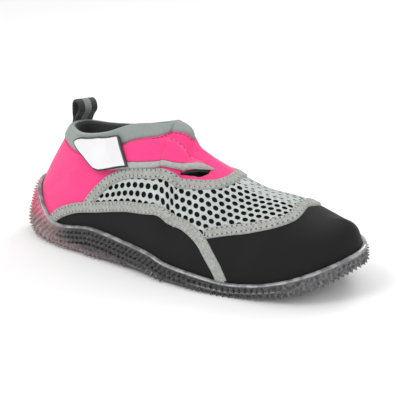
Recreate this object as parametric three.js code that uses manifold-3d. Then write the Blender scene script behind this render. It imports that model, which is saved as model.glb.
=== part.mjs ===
// A low water shoe for the right foot: a stretch upper in a moulded cup sole, with a slip collar,
// an instep strap that ends in a tab, sewn binding tapes and a pull loop at the heel.
// Millimetres. +X runs to the toe, +Y to the inner side of the foot, +Z up, and the floor is z = 0.
import * as THREE from 'three';
import * as BufferGeometryUtils from 'three/addons/utils/BufferGeometryUtils.js';
import Module from 'manifold-3d';

const wasm = await Module();
wasm.setup();

// Driving sizes
const LENGTH = 252; // sole, heel to toe
const MIDDLE = 0.505; // share of LENGTH at which the middle of the shoe lies
const BALL_WIDTH = 94; // sole, widest at the ball of the foot
const HEEL_HEIGHT = 80; // floor to the collar's edge at the back
const INSTEP_HEIGHT = 92; // floor to the collar's edge in front
const TOE_HEIGHT = 44.5; // floor to the upper's top above the toes
const TOE_SPRING = 14.5; // how far the toe end of the sole rises off the floor
const COLLAR_DROP = 6; // how much lower the collar's inner edge runs
const UPPER_WALL = 3; // stretch foam of the upper
const COLLAR_BAND = 12; // height of the collar band at the back
const COLLAR_PROUD = 0.8; // step where the collar band stands over the upper
const COLLAR_ROLL = 1.2; // rounding of the collar's edge
const SOLE_THICK = 7; // floor to the bed that the foot lies on
const SOLE_EDGE = 4; // sole's edge outside the upper's lower seam
const SOLE_TUCK = 9; // how far the sole's underside draws in at heel and toe
const CUP_HEIGHT = 38; // the sole's rim at the back of the heel, above its underside
const CUP_WALL = 2.6; // wall of the cup where it wraps the upper
const RIM_BEAD = 0.8; // bead along the cup's rim
const RIM_BEAD_HEIGHT = 3;
const LUG_HEIGHT = 1.5;
const LUG_RADIUS = 4;
const LUG_PITCH = 14;
const LUG_MARGIN = 8; // from a lug's centre to the edge of the sole's outline
const INSOLE_THICK = 3.5;
const TAPE_WIDTH = 7;
const TAPE_THICK = 1.2;
const STRAP_THICK = 1.6;
const STRAP_LIFT = 2.5; // how far the strap's free edge stands off at the slit
const STRAP_BINDING_THICK = 2.6;
const TAB_THICK = 1.8;
const LOOP_WIDTH = 14; // webbing of the pull loop
const LOOP_THICK = 1.4;
const LOOP_HEIGHT = 15; // above the collar's edge
const LOOP_DEPTH = 10; // front to back inside the loop
const LOOP_SEAM = 10; // how far the loop's ends run down the collar
const GAP = 0.35; // between neighbouring pieces

// Sections of the last, one row for each station from the heel's back to the toe's tip.
// at, topAt: place along the sole, as shares of LENGTH. outer, inner, topOuter, topInner: to each side of
// the middle, as shares of BALL_WIDTH, for the sole's edge and for the upper's top line.
// spring, drop, tuck, band: shares of TOE_SPRING, COLLAR_DROP, SOLE_TUCK, COLLAR_BAND.
// cupOuter, cupInner: shares of CUP_HEIGHT on the two sides.
// heel, instep, toe: shares of the three heights that add up to the top line.
// lowOut, lowUp, highIn, highDown: the rib's handles, as shares of its spread and height.
const STATION_COLUMNS = [
  'at', 'outer', 'inner', 'spring', 'topAt', 'topOuter', 'topInner', 'heel', 'instep', 'toe',
  'drop', 'lowOut', 'lowUp', 'highIn', 'highDown', 'tuck', 'cupOuter', 'cupInner', 'band',
];
const STATION_ROWS = [
  [0.010, 0.030, 0.030, 0.10, 0.155, 0.040, 0.040, 1.00, 0.00, 0.00, 0.00, 0.03, 0.38, 0.38, 0.25, 0.55, 1.00, 1.00, 1.05],
  [0.053, -0.195, 0.260, 0.00, 0.170, -0.070, 0.140, 1.00, 0.00, 0.00, 0.08, 0.05, 0.38, 0.34, 0.25, 0.50, 0.92, 0.92, 1.10],
  [0.150, -0.310, 0.365, 0.00, 0.225, -0.165, 0.210, 0.99, 0.00, 0.00, 0.17, 0.08, 0.35, 0.25, 0.30, 0.40, 0.47, 0.47, 1.20],
  [0.300, -0.372, 0.365, 0.00, 0.310, -0.190, 0.220, 0.50, 0.47, 0.00, 0.50, 0.05, 0.35, 0.30, 0.30, 0.25, 0.55, 0.55, 1.25],
  [0.420, -0.417, 0.350, 0.10, 0.395, -0.150, 0.190, 0.00, 0.99, 0.00, 1.00, 0.05, 0.35, 0.45, 0.18, 0.22, 0.45, 0.45, 1.25],
  [0.500, -0.460, 0.360, 0.07, 0.470, 0.035, 0.035, 0.00, 0.99, 0.00, 0.00, 0.05, 0.35, 0.60, 0.12, 0.22, 0.41, 0.41, 0.92],
  [0.550, -0.480, 0.395, 0.00, 0.524, 0.040, 0.040, 0.00, 0.86, 0.00, 0.00, 0.05, 0.35, 0.54, 0.14, 0.22, 0.35, 0.35, 0.00],
  [0.620, -0.492, 0.440, 0.00, 0.600, 0.050, 0.050, 0.00, 0.74, 0.00, 0.00, 0.05, 0.38, 0.58, 0.04, 0.25, 0.30, 0.30, 0.00],
  [0.720, -0.475, 0.492, 0.00, 0.700, 0.060, 0.060, 0.00, 0.32, 0.61, 0.00, 0.05, 0.45, 0.60, 0.02, 0.35, 0.24, 0.24, 0.00],
  [0.830, -0.430, 0.480, 0.24, 0.800, 0.070, 0.070, 0.00, 0.15, 0.87, 0.00, 0.05, 0.55, 0.62, 0.00, 0.60, 0.24, 0.30, 0.00],
  [0.930, -0.295, 0.390, 0.53, 0.885, 0.075, 0.075, 0.00, 0.00, 1.03, 0.00, 0.05, 0.68, 0.65, 0.00, 0.80, 0.34, 0.55, 0.00],
  [1.000, 0.080, 0.080, 1.16, 0.925, 0.080, 0.080, 0.00, 0.00, 1.02, 0.00, 0.05, 0.75, 0.70, 0.00, 0.90, 0.32, 0.32, 0.00],
];
const LAST_STATION = STATION_ROWS.length - 1;
const FRONT_STATION = 5; // the opening ends here and the ridge of the instep begins
const BAND_STATION = 6; // the collar band runs out on the ridge here

function namedRow(names, row) {
  return Object.fromEntries(names.map((name, i) => [name, row[i]]));
}

const STATIONS = STATION_ROWS.map((row) => namedRow(STATION_COLUMNS, row));

// What is carried from station to station, for one side of the shoe, in millimetres or shares
function stationValues(row, side) {
  const outerSide = side === 'outer';
  const top = row.heel * HEEL_HEIGHT + row.instep * INSTEP_HEIGHT + row.toe * TOE_HEIGHT;
  return {
    x: (row.at - MIDDLE) * LENGTH,
    y: (outerSide ? row.outer : row.inner) * BALL_WIDTH,
    ground: row.spring * TOE_SPRING,
    topX: (row.topAt - MIDDLE) * LENGTH,
    topY: (outerSide ? row.topOuter : row.topInner) * BALL_WIDTH,
    topZ: top - (outerSide ? 0 : row.drop * COLLAR_DROP),
    lowOut: row.lowOut,
    lowUp: row.lowUp,
    highIn: row.highIn,
    highDown: row.highDown,
    tuck: row.tuck * SOLE_TUCK,
    cup: (outerSide ? row.cupOuter : row.cupInner) * CUP_HEIGHT,
    band: row.band * COLLAR_BAND,
  };
}

const SIDES = {
  outer: STATIONS.map((row) => stationValues(row, 'outer')),
  inner: STATIONS.map((row) => stationValues(row, 'inner')),
};
const OTHER_SIDE = { outer: 'inner', inner: 'outer' };
const TOP_KEYS = ['topX', 'topY', 'topZ'];

// Centripetal spacing of the stations, the same on both sides so that the two sides meet on the ridge
const SPACING = STATIONS.slice(1).map((row, i) => {
  const before = STATIONS[i];
  const run = (row.at - before.at) * LENGTH;
  const spread = ((row.inner - row.outer) - (before.inner - before.outer)) / 2 * BALL_WIDTH;
  return Math.sqrt(Math.hypot(run, spread));
});

// The top line turns a corner in front of the opening and another where the collar band runs out: shares of
// the even slope with which it arrives there and leaves
const CORNERS = {
  [FRONT_STATION]: {
    arriving: { topX: 0, topY: 1.6, topZ: 0.3 },
    leaving: { topX: 1.7, topY: 1, topZ: 0.25 },
  },
  [BAND_STATION]: {
    arriving: { topX: 0.25, topY: 1, topZ: 1.8 },
    leaving: { topX: 1, topY: 1, topZ: 0.8 },
  },
};

// Tangent of one value at a station, arriving or leaving
function tangent(side, key, i, arriving) {
  const rows = SIDES[side];
  const mirror = SIDES[OTHER_SIDE[side]];
  const before = i > 0 ? rows[i - 1] : mirror[1];
  const after = i < LAST_STATION ? rows[i + 1] : mirror[LAST_STATION - 1];
  const spanBefore = SPACING[Math.max(i - 1, 0)];
  const spanAfter = SPACING[Math.min(i, LAST_STATION - 1)];
  const slopeBefore = (rows[i][key] - before[key]) / spanBefore;
  const slopeAfter = (after[key] - rows[i][key]) / spanAfter;
  const corner = CORNERS[i];
  if (corner && TOP_KEYS.includes(key)) {
    return arriving ? corner.arriving[key] * slopeBefore : corner.leaving[key] * slopeAfter;
  }
  return (slopeBefore * spanAfter + slopeAfter * spanBefore) / (spanBefore + spanAfter);
}

function hermite(side, key, station) {
  const i = Math.min(Math.floor(station), LAST_STATION - 1);
  const t = station - i;
  const span = SPACING[i];
  return {
    from: SIDES[side][i][key],
    to: SIDES[side][i + 1][key],
    leave: tangent(side, key, i, false) * span,
    arrive: tangent(side, key, i + 1, true) * span,
    t,
  };
}

// A value between two stations, and how fast it changes there
function valueAt(side, key, station) {
  const { from, to, leave, arrive, t } = hermite(side, key, station);
  const t2 = t * t;
  const t3 = t2 * t;
  return from * (2 * t3 - 3 * t2 + 1) + leave * (t3 - 2 * t2 + t)
    + to * (3 * t2 - 2 * t3) + arrive * (t3 - t2);
}

function rateAt(side, key, station) {
  const { from, to, leave, arrive, t } = hermite(side, key, station);
  return from * (6 * t * t - 6 * t) + leave * (3 * t * t - 4 * t + 1)
    + to * (6 * t - 6 * t * t) + arrive * (3 * t * t - 2 * t);
}

// Level direction that points out of the sole's outline
function outward(side, station) {
  const alongX = rateAt(side, 'x', station);
  const alongY = rateAt(side, 'y', station);
  const turn = side === 'outer' ? 1 : -1;
  return new THREE.Vector3(alongY * turn, -alongX * turn, 0).normalize();
}

function groundAt(side, station) {
  return Math.max(valueAt(side, 'ground', station), 0);
}

// Slope of the ridge, which the ribs meet level across and sloping along
function ridgeSlope(side, station) {
  const back = Math.max(station - 0.5, 0);
  const run = valueAt(side, 'topX', station) - valueAt(side, 'topX', back);
  const rise = valueAt(side, 'topZ', station) - valueAt(side, 'topZ', back);
  const share = THREE.MathUtils.smoothstep(station, FRONT_STATION, FRONT_STATION + 1.5);
  return THREE.MathUtils.clamp(rise / Math.max(Math.abs(run), 0.001), -1, 1) * share;
}

// The upper's outer surface. across runs from 0 at the outer side's lower seam over 1 at the top line
// to 2 at the inner side's lower seam.
function skin(station, across) {
  const side = across <= 1 ? 'outer' : 'inner';
  const rise = across <= 1 ? across : 2 - across;
  const value = (key) => valueAt(side, key, station);
  const out = outward(side, station).multiplyScalar(SOLE_EDGE);
  const low = new THREE.Vector3(value('x') - out.x, value('y') - out.y, groundAt(side, station) + SOLE_THICK);
  const top = new THREE.Vector3(value('topX'), value('topY'), value('topZ'));
  const spread = new THREE.Vector3(low.x - top.x, low.y - top.y, 0);
  const height = top.z - low.z;
  const lowHandle = low.clone().addScaledVector(spread, value('lowOut'));
  lowHandle.z += value('lowUp') * height;
  const highHandle = top.clone().addScaledVector(spread, value('highIn'));
  highHandle.z += value('highIn') * spread.x * ridgeSlope(side, station) - value('highDown') * height;
  return new THREE.CubicBezierCurve3(low, lowHandle, highHandle, top).getPoint(rise);
}

// Outward normal of that surface. Past either end the neighbour lies on the other side of the shoe.
const NORMAL_STEP = 0.02;

function normalAt(station, across) {
  const level = station > LAST_STATION - NORMAL_STEP ? THREE.MathUtils.clamp(across, 0, 2) : across;
  const steady = Math.abs(level - 1) < NORMAL_STEP && station > LAST_STATION - 1
    ? 1 + Math.sign(level - 1 || -1) * NORMAL_STEP : level;
  const mirrored = steady <= 1 ? Math.max(2 - steady, 1 + 1e-9) : 2 - steady;
  const ahead = station + NORMAL_STEP <= LAST_STATION
    ? skin(station + NORMAL_STEP, steady) : skin(2 * LAST_STATION - station - NORMAL_STEP, mirrored);
  const behind = station - NORMAL_STEP >= 0
    ? skin(station - NORMAL_STEP, steady) : skin(NORMAL_STEP - station, mirrored);
  const open = station <= FRONT_STATION;
  const highest = open && steady <= 1 ? 1 : 2;
  const lowest = open && steady > 1 ? 1 + 1e-9 : 0;
  const up = skin(station, Math.min(steady + NORMAL_STEP, highest));
  const down = skin(station, Math.max(steady - NORMAL_STEP, lowest));
  return ahead.sub(behind).cross(up.sub(down)).normalize();
}

function offSkin(station, across, offset) {
  return skin(station, across).addScaledVector(normalAt(station, across), offset);
}

// Length of a rib from its lower seam to the top line
const RIB_STEPS = 8;

function ribLength(station, side) {
  const place = (k) => skin(station, side === 'outer' ? k / RIB_STEPS : 2 - k / RIB_STEPS - 1e-9);
  let length = 0;
  for (let k = 0; k < RIB_STEPS; k += 1) {
    length += place(k).distanceTo(place(k + 1));
  }
  return length;
}

// How far up a rib the upper reaches: to the collar band's lower edge, and to the ridge in front of it
function seamRise(station, side) {
  if (station >= BAND_STATION) {
    return 1;
  }
  return 1 - Math.max(valueAt(side, 'band', station), 0) / ribLength(station, side);
}

// Where on a rib a height is reached
const RISE_STEPS = 24;

function riseAtHeight(station, side, height) {
  let low = 0;
  let high = 1;
  for (let k = 0; k < RISE_STEPS; k += 1) {
    const middle = (low + high) / 2;
    const point = skin(station, side === 'outer' ? middle : 2 - middle - 1e-9);
    if (point.z < height) {
      low = middle;
    } else {
      high = middle;
    }
  }
  return low;
}

function acrossOf(side, rise) {
  return side === 'outer' ? rise : Math.max(2 - rise, 1 + 1e-9);
}

// Closed geometry from points and faces, welded, with its faces turned to point out
const WELD = 0.001;

function closedGeometry(points, faces) {
  const loose = new THREE.BufferGeometry();
  loose.setAttribute('position', new THREE.Float32BufferAttribute(points.flatMap((p) => p.toArray()), 3));
  loose.setIndex(faces.flat());
  const welded = BufferGeometryUtils.mergeVertices(loose, WELD);
  const index = welded.getIndex().array;
  const kept = [];
  for (let i = 0; i < index.length; i += 3) {
    const [a, b, c] = [index[i], index[i + 1], index[i + 2]];
    if (a !== b && b !== c && c !== a) {
      kept.push(a, b, c);
    }
  }
  if (enclosedVolume(welded.getAttribute('position'), kept) < 0) {
    kept.reverse();
  }
  welded.setIndex(kept);
  return welded;
}

function enclosedVolume(position, index) {
  const corner = (i) => new THREE.Vector3().fromBufferAttribute(position, i);
  let volume = 0;
  for (let i = 0; i < index.length; i += 3) {
    volume += corner(index[i]).dot(corner(index[i + 1]).cross(corner(index[i + 2]))) / 6;
  }
  return volume;
}

function pushQuad(faces, a, b, c, d) {
  faces.push([a, b, c], [a, c, d]);
}

// A closed form from two facing sides, each a list of stations with the same number of points from
// top to bottom. The sides meet at both ends, and strips join them above and below.
function closedForm(outerSide, innerSide) {
  const rows = outerSide[0].length;
  const points = [...outerSide.flat(), ...innerSide.flat()];
  const outerPoint = (i, j) => i * rows + j;
  const innerPoint = (i, j) => (outerSide.length + i) * rows + j;
  const faces = [];
  for (let i = 0; i + 1 < outerSide.length; i += 1) {
    for (let j = 0; j + 1 < rows; j += 1) {
      pushQuad(faces, outerPoint(i, j), outerPoint(i, j + 1), outerPoint(i + 1, j + 1), outerPoint(i + 1, j));
      pushQuad(faces, innerPoint(i, j), innerPoint(i + 1, j), innerPoint(i + 1, j + 1), innerPoint(i, j + 1));
    }
    pushQuad(faces, outerPoint(i, 0), outerPoint(i + 1, 0), innerPoint(i + 1, 0), innerPoint(i, 0));
    const last = rows - 1;
    pushQuad(faces, outerPoint(i, last), innerPoint(i, last), innerPoint(i + 1, last), outerPoint(i + 1, last));
  }
  return closedGeometry(points, faces);
}

// A wall between two offsets from the upper's surface. cells lists quads of [station, across] corners.
function wallGeometry(cells, lower, upper) {
  const places = new Map();
  const sites = [];
  const quads = cells.map((cell) => cell.map(([station, across]) => {
    const point = skin(station, across);
    const key = point.toArray().map((v) => Math.round(v / WELD)).join(' ');
    if (!places.has(key)) {
      places.set(key, sites.length);
      sites.push({ station, across, point, normal: normalAt(station, across) });
    }
    return places.get(key);
  }));
  const count = sites.length;
  const under = sites.map((s) => s.point.clone().addScaledVector(s.normal, lower(s)));
  const over = sites.map((s) => s.point.clone().addScaledVector(s.normal, upper(s)));
  const triangles = [];
  quads.forEach(([a, b, c, d]) => {
    [[a, b, c], [a, c, d]].forEach((face) => {
      if (new Set(face).size === 3) {
        triangles.push(face);
      }
    });
  });
  const edges = new Set(triangles.flatMap(([a, b, c]) => [`${a} ${b}`, `${b} ${c}`, `${c} ${a}`]));
  const faces = [];
  triangles.forEach(([a, b, c]) => {
    faces.push([a + count, b + count, c + count], [a, c, b]);
  });
  edges.forEach((edge) => {
    const [a, b] = edge.split(' ').map(Number);
    if (!edges.has(`${b} ${a}`)) {
      pushQuad(faces, a, b, b + count, a + count);
    }
  });
  return closedGeometry([...under, ...over], faces);
}

// Quads over a patch of the surface. place gives [station, across] for shares along and across it.
function patchCells(columns, rows, place) {
  const cells = [];
  for (let i = 0; i < columns; i += 1) {
    for (let j = 0; j < rows; j += 1) {
      cells.push([
        place(i / columns, j / rows),
        place((i + 1) / columns, j / rows),
        place((i + 1) / columns, (j + 1) / rows),
        place(i / columns, (j + 1) / rows),
      ]);
    }
  }
  return cells;
}

// The same quads turned over for the inner side, where across counts down from 2
function innerCells(cells) {
  return cells.map((cell) => cell.map(([station, across]) => [station, acrossOf('inner', across)]).reverse());
}

function solidOf(geometry) {
  const bare = new THREE.BufferGeometry();
  bare.setAttribute('position', geometry.getAttribute('position'));
  bare.setIndex(geometry.getIndex());
  const welded = BufferGeometryUtils.mergeVertices(bare, WELD);
  return new wasm.Manifold(new wasm.Mesh({
    numProp: 3,
    vertProperties: new Float32Array(welded.getAttribute('position').array),
    triVerts: new Uint32Array(welded.getIndex().array),
  }));
}

function geometryOf(solid) {
  const mesh = solid.getMesh();
  const points = [];
  for (let i = 0; i < mesh.vertProperties.length; i += mesh.numProp) {
    points.push(mesh.vertProperties[i], mesh.vertProperties[i + 1], mesh.vertProperties[i + 2]);
  }
  const geometry = new THREE.BufferGeometry();
  geometry.setAttribute('position', new THREE.Float32BufferAttribute(points, 3));
  geometry.setIndex(Array.from(mesh.triVerts));
  return geometry;
}

// The whole last, closed over the opening and below, grown by an offset
const COLUMNS_PER_STATION = 3;
const LAST_ROWS = 9;
const COLUMN_COUNT = LAST_STATION * COLUMNS_PER_STATION;
const COLUMN_STATIONS = Array.from({ length: COLUMN_COUNT + 1 }, (_, i) => i / COLUMNS_PER_STATION);

function lastSide(side, offset) {
  return COLUMN_STATIONS.map((station) => {
    const ribPoints = [];
    for (let j = LAST_ROWS; j >= 0; j -= 1) {
      const seam = seamRise(station, side);
      ribPoints.push(offSkin(station, acrossOf(side, seam * j / LAST_ROWS), offset));
    }
    const foot = ribPoints[LAST_ROWS];
    foot.z = groundAt(side, station) + SOLE_THICK - offset;
    return ribPoints;
  });
}

function grownLast(offset) {
  return solidOf(closedForm(lastSide('outer', offset), lastSide('inner', offset)));
}

const clearance = grownLast(GAP);

// Cup sole: a moulded slab whose wall follows the upper up to a waved rim with a bead
const SOLE_PROFILE_COLUMNS = ['rise', 'follow', 'tuck'];
const SOLE_PROFILE = [
  [0.62, 1.0, 0.0],
  [0.38, 0.4, 0.0],
  [0.22, 0.0, 0.1],
  [0.08, 0.0, 0.5],
  [0.00, 0.0, 1.0],
].map((row) => namedRow(SOLE_PROFILE_COLUMNS, row));

function soleSection(side, station, grown = 0) {
  const base = groundAt(side, station) + LUG_HEIGHT;
  const rim = groundAt(side, station) + valueAt(side, 'cup', station) + grown;
  const out = outward(side, station);
  const edge = new THREE.Vector3(valueAt(side, 'x', station), valueAt(side, 'y', station), 0);
  const hug = (height, wall) => {
    const across = acrossOf(side, riseAtHeight(station, side, height));
    const point = offSkin(station, across, wall + grown);
    point.z = height;
    return point;
  };
  const bead = CUP_WALL + RIM_BEAD;
  const section = [
    hug(rim, CUP_WALL),
    hug(rim - RIM_BEAD, bead),
    hug(rim - RIM_BEAD_HEIGHT + RIM_BEAD, bead),
    hug(rim - RIM_BEAD_HEIGHT, CUP_WALL),
  ];
  const wallTop = rim - RIM_BEAD_HEIGHT;
  SOLE_PROFILE.forEach(({ rise, follow, tuck }) => {
    const height = base + (wallTop - base) * rise;
    const free = edge.clone().addScaledVector(out, -tuck * valueAt(side, 'tuck', station));
    free.z = height;
    section.push(free.lerp(hug(Math.max(height, base + SOLE_THICK), CUP_WALL).setZ(height), follow));
  });
  return section;
}

function soleShape() {
  const sectionsOf = (side) => COLUMN_STATIONS.map((station) => soleSection(side, station));
  const shape = solidOf(closedForm(sectionsOf('outer'), sectionsOf('inner')));
  return shape.subtract(clearance);
}

// The station whose edge lies at a given x
function stationAtX(side, x) {
  let low = 0;
  let high = LAST_STATION;
  for (let k = 0; k < RISE_STEPS; k += 1) {
    const middle = (low + high) / 2;
    if (valueAt(side, 'x', middle) < x) {
      low = middle;
    } else {
      high = middle;
    }
  }
  return low;
}

// Six-sided lugs in staggered rows under the sole, with their feet on the floor at heel and ball
const LUG_SIDES = 6;
const LUG_FLARE = 0.8; // wider at the root
const LUG_ROOT = 1; // sunk into the slab

function lugCentres() {
  const centres = [];
  const columns = Math.floor((LENGTH / 2 - LUG_MARGIN - SOLE_TUCK) / LUG_PITCH);
  for (let i = -columns; i <= columns; i += 1) {
    const x = i * LUG_PITCH;
    const outerStation = stationAtX('outer', x);
    const innerStation = stationAtX('inner', x);
    const room = (side, station) => LUG_MARGIN + valueAt(side, 'tuck', station);
    const low = valueAt('outer', 'y', outerStation) + room('outer', outerStation);
    const high = valueAt('inner', 'y', innerStation) - room('inner', innerStation);
    const grounds = [groundAt('outer', outerStation), groundAt('inner', innerStation)];
    const count = Math.floor((high - low) / LUG_PITCH) + 1;
    const start = (low + high) / 2 - (count - 1) / 2 * LUG_PITCH;
    for (let k = 0; k < count; k += 1) {
      centres.push({ x, y: start + k * LUG_PITCH, z: Math.max(...grounds) });
    }
  }
  return centres;
}

function lugShape({ x, y, z }) {
  const height = LUG_HEIGHT + LUG_ROOT;
  const lug = new THREE.CylinderGeometry(LUG_RADIUS + LUG_FLARE, LUG_RADIUS, height, LUG_SIDES);
  lug.deleteAttribute('normal');
  lug.deleteAttribute('uv');
  lug.rotateX(Math.PI / 2);
  lug.translate(x, y, z + height / 2);
  return solidOf(BufferGeometryUtils.mergeVertices(lug, WELD));
}

function outsole() {
  return geometryOf(lugCentres().reduce((sole, centre) => sole.add(lugShape(centre)), soleShape()));
}

// Foot bed inside the upper's lower edge
function insole() {
  const inset = SOLE_EDGE + UPPER_WALL + GAP;
  const sectionsOf = (side) => COLUMN_STATIONS.map((station) => {
    const out = outward(side, station);
    const bed = groundAt(side, station) + SOLE_THICK;
    const x = valueAt(side, 'x', station) - out.x * inset;
    const y = valueAt(side, 'y', station) - out.y * inset;
    return [new THREE.Vector3(x, y, bed + INSOLE_THICK), new THREE.Vector3(x, y, bed)];
  });
  return closedForm(sectionsOf('outer'), sectionsOf('inner'));
}

function rowBetween(rows, key, station) {
  const next = rows.findIndex((row) => row.station > station);
  if (next === 0) {
    return rows[0][key];
  }
  if (next < 0) {
    return rows[rows.length - 1][key];
  }
  const [from, to] = [rows[next - 1], rows[next]];
  return THREE.MathUtils.mapLinear(station, from.station, to.station, from[key], to[key]);
}

// A patch between two curves of a table. Its columns divide the spans of the table evenly.
const COLUMNS_PER_ROW = 2;

function bandCells(rows, lowKey, highKey, layers, trim = 0) {
  const columns = (rows.length - 1) * COLUMNS_PER_ROW;
  return patchCells(columns, layers, (p, q) => {
    const row = Math.min(Math.floor(p * (rows.length - 1) + WELD), rows.length - 2);
    const station = THREE.MathUtils.lerp(rows[row].station, rows[row + 1].station, p * (rows.length - 1) - row);
    const low = rowBetween(rows, lowKey, station);
    const high = rowBetween(rows, highKey, station) - trim;
    return [station, THREE.MathUtils.lerp(low, high, q)];
  });
}

// Collar band: its own wall, a step proud of the upper, with a rounded edge around the opening.
// It shares the upper's columns, so that the seam between the two stays even.
const BAND_TIP = 0.7; // share of the last column that the band fills
const BAND_ROWS = 3;

// The seam's gap along a rib, wider where the seam crosses the rib at a slant
function seamGap(station, side) {
  const rise = seamRise(station, side);
  const here = skin(station, acrossOf(side, rise));
  const along = skin(station + NORMAL_STEP, acrossOf(side, seamRise(station + NORMAL_STEP, side))).sub(here);
  const up = skin(station, acrossOf(side, rise - NORMAL_STEP)).sub(here);
  return GAP / (Math.sin(along.angleTo(up)) * ribLength(station, side));
}

function seamAtColumn(column, side) {
  const whole = Math.floor(column);
  const here = seamRise(COLUMN_STATIONS[whole], side);
  const next = seamRise(COLUMN_STATIONS[whole + 1], side);
  return THREE.MathUtils.lerp(here, next, column - whole);
}

function bandCellsAroundOpening(gapShare) {
  const columns = BAND_STATION * COLUMNS_PER_STATION;
  const place = (side) => (p, q) => {
    const column = Math.min(Math.round(p * columns), columns - 1 + BAND_TIP);
    const station = column / COLUMNS_PER_STATION;
    const start = seamAtColumn(column, side) + gapShare * seamGap(station, side);
    return [station, THREE.MathUtils.lerp(Math.min(start, 1 - WELD), 1, q)];
  };
  const outerHalf = patchCells(columns, BAND_ROWS, place('outer'));
  const innerHalf = innerCells(patchCells(columns, BAND_ROWS, place('inner')));
  return [...outerHalf, ...innerHalf];
}

function collar() {
  const proud = ({ station, across }) => {
    const edge = station < FRONT_STATION && Math.abs(across - 1) < 0.001;
    return edge ? COLLAR_PROUD - COLLAR_ROLL : COLLAR_PROUD;
  };
  return wallGeometry(bandCellsAroundOpening(1), () => -UPPER_WALL, proud);
}

// The upper: one hollow wall from the lower seam to the collar band and the ridge, with the throat slit cut
const SLIT_COLUMNS = ['station', 'low', 'high'];
const SLIT_ROWS = [
  [5.95, 0.700, 0.712],
  [6.20, 0.725, 0.765],
  [6.45, 0.742, 0.805],
  [6.72, 0.768, 0.845],
  [6.90, 0.825, 0.875],
].map((row) => namedRow(SLIT_COLUMNS, row));

function upper() {
  const half = patchCells(COLUMN_COUNT, LAST_ROWS, (p, q) => {
    const station = p * LAST_STATION;
    return [station, q * seamRise(station, 'outer')];
  });
  const otherHalf = innerCells(patchCells(COLUMN_COUNT, LAST_ROWS, (p, q) => {
    const station = p * LAST_STATION;
    return [station, q * seamRise(station, 'inner')];
  }));
  const wall = solidOf(wallGeometry([...half, ...otherHalf], () => -UPPER_WALL, () => 0));
  const slitReach = 2 * UPPER_WALL;
  const slit = solidOf(wallGeometry(
    bandCells(SLIT_ROWS, 'low', 'high', 1),
    () => -slitReach,
    () => slitReach,
  ));
  const bandRoom = solidOf(wallGeometry(
    bandCellsAroundOpening(0.5),
    () => -slitReach,
    () => slitReach,
  ));
  return geometryOf(wall.subtract(slit).subtract(bandRoom));
}

// A flat strip swept along frames that each give a middle, a sideways and an upward direction
function sweptStrip(frames, width, bottom, top) {
  const points = frames.flatMap(({ middle, sideways, upward }) => [
    [-1, bottom], [1, bottom], [1, top], [-1, top],
  ].map(([turn, level]) => middle.clone()
    .addScaledVector(sideways, turn * width / 2)
    .addScaledVector(upward, level)));
  const faces = [];
  for (let i = 0; i + 1 < frames.length; i += 1) {
    for (let j = 0; j < 4; j += 1) {
      const k = (j + 1) % 4;
      pushQuad(faces, 4 * i + j, 4 * i + k, 4 * (i + 1) + k, 4 * (i + 1) + j);
    }
  }
  const end = 4 * (frames.length - 1);
  pushQuad(faces, 0, 3, 2, 1);
  pushQuad(faces, end, end + 1, end + 2, end + 3);
  return closedGeometry(points, faces);
}

// Binding tapes, sewn flat along paths on the upper, each row a place on the tape's middle
const TAPE_PATHS = {
  side: [[1.87, 0.11], [2.05, 0.19], [2.27, 0.256], [2.52, 0.305], [2.82, 0.332], [3.15, 0.347], [3.83, 0.348],
    [4.53, 0.352], [5.20, 0.37], [5.87, 0.39], [6.50, 0.392], [6.95, 0.372], [7.30, 0.32], [7.57, 0.23],
    [7.82, 0.12], [7.96, 0.02]],
  instep: [[2.78, 0.36], [2.95, 0.455], [3.28, 0.545], [3.70, 0.572], [4.30, 0.576], [4.88, 0.578], [5.45, 0.60],
    [6.02, 0.645], [6.50, 0.68], [6.90, 0.718], [7.20, 0.775], [7.40, 0.86], [7.48, 0.94], [7.49, 1.0]],
  toe: [[7.38, 0.39], [8.0, 0.487], [8.5, 0.545], [8.88, 0.60], [9.12, 0.67], [9.27, 0.75], [9.33, 0.84],
    [9.34, 0.94], [9.34, 1.0]],
};
const TAPE_STEPS_PER_ROW = 1.5;
const TAPE_SINK = 1; // cut away again where the tape lies on the upper

function onwardFromRidge(path) {
  const mirrored = path.slice(0, -1).map(([station, across]) => [station, 2 - across]);
  return [...path, ...mirrored.reverse()];
}

function tapeFrames(path) {
  const steps = Math.ceil((path.length - 1) * TAPE_STEPS_PER_ROW);
  const route = new THREE.CatmullRomCurve3(
    path.map(([station, across]) => new THREE.Vector3(station, across, 0)),
    false,
    'catmullrom',
    0.5,
  );
  const places = Array.from({ length: steps + 1 }, (_, i) => route.getPoint(i / steps));
  const middles = places.map((place) => skin(place.x, place.y));
  return places.map((place, i) => {
    const onward = middles[Math.min(i + 1, steps)].clone().sub(middles[Math.max(i - 1, 0)]);
    const upward = normalAt(place.x, place.y);
    const sideways = upward.clone().cross(onward).normalize();
    return { middle: middles[i], sideways, upward };
  });
}

function tapeSolid(path, width, top) {
  return solidOf(sweptStrip(tapeFrames(path), width, -TAPE_SINK, top));
}

const TAPE_TOP = GAP + TAPE_THICK;
const cupClearance = solidOf(closedForm(
  COLUMN_STATIONS.map((station) => soleSection('outer', station, GAP)),
  COLUMN_STATIONS.map((station) => soleSection('inner', station, GAP)),
));

function mirroredPath(path) {
  return path.map(([station, across]) => [station, 2 - across]);
}

function sideTape(path) {
  return tapeSolid(path, TAPE_WIDTH, TAPE_TOP).subtract(clearance).subtract(cupClearance);
}

// A tape that runs over the ridge and ends on the side tapes
function crossingTape(path) {
  const wide = TAPE_WIDTH + 2 * GAP;
  const outerSeat = tapeSolid(TAPE_PATHS.side, wide, TAPE_TOP + GAP);
  const innerSeat = tapeSolid(mirroredPath(TAPE_PATHS.side), wide, TAPE_TOP + GAP);
  return tapeSolid(onwardFromRidge(path), TAPE_WIDTH, TAPE_TOP)
    .subtract(clearance)
    .subtract(outerSeat)
    .subtract(innerSeat);
}

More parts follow.
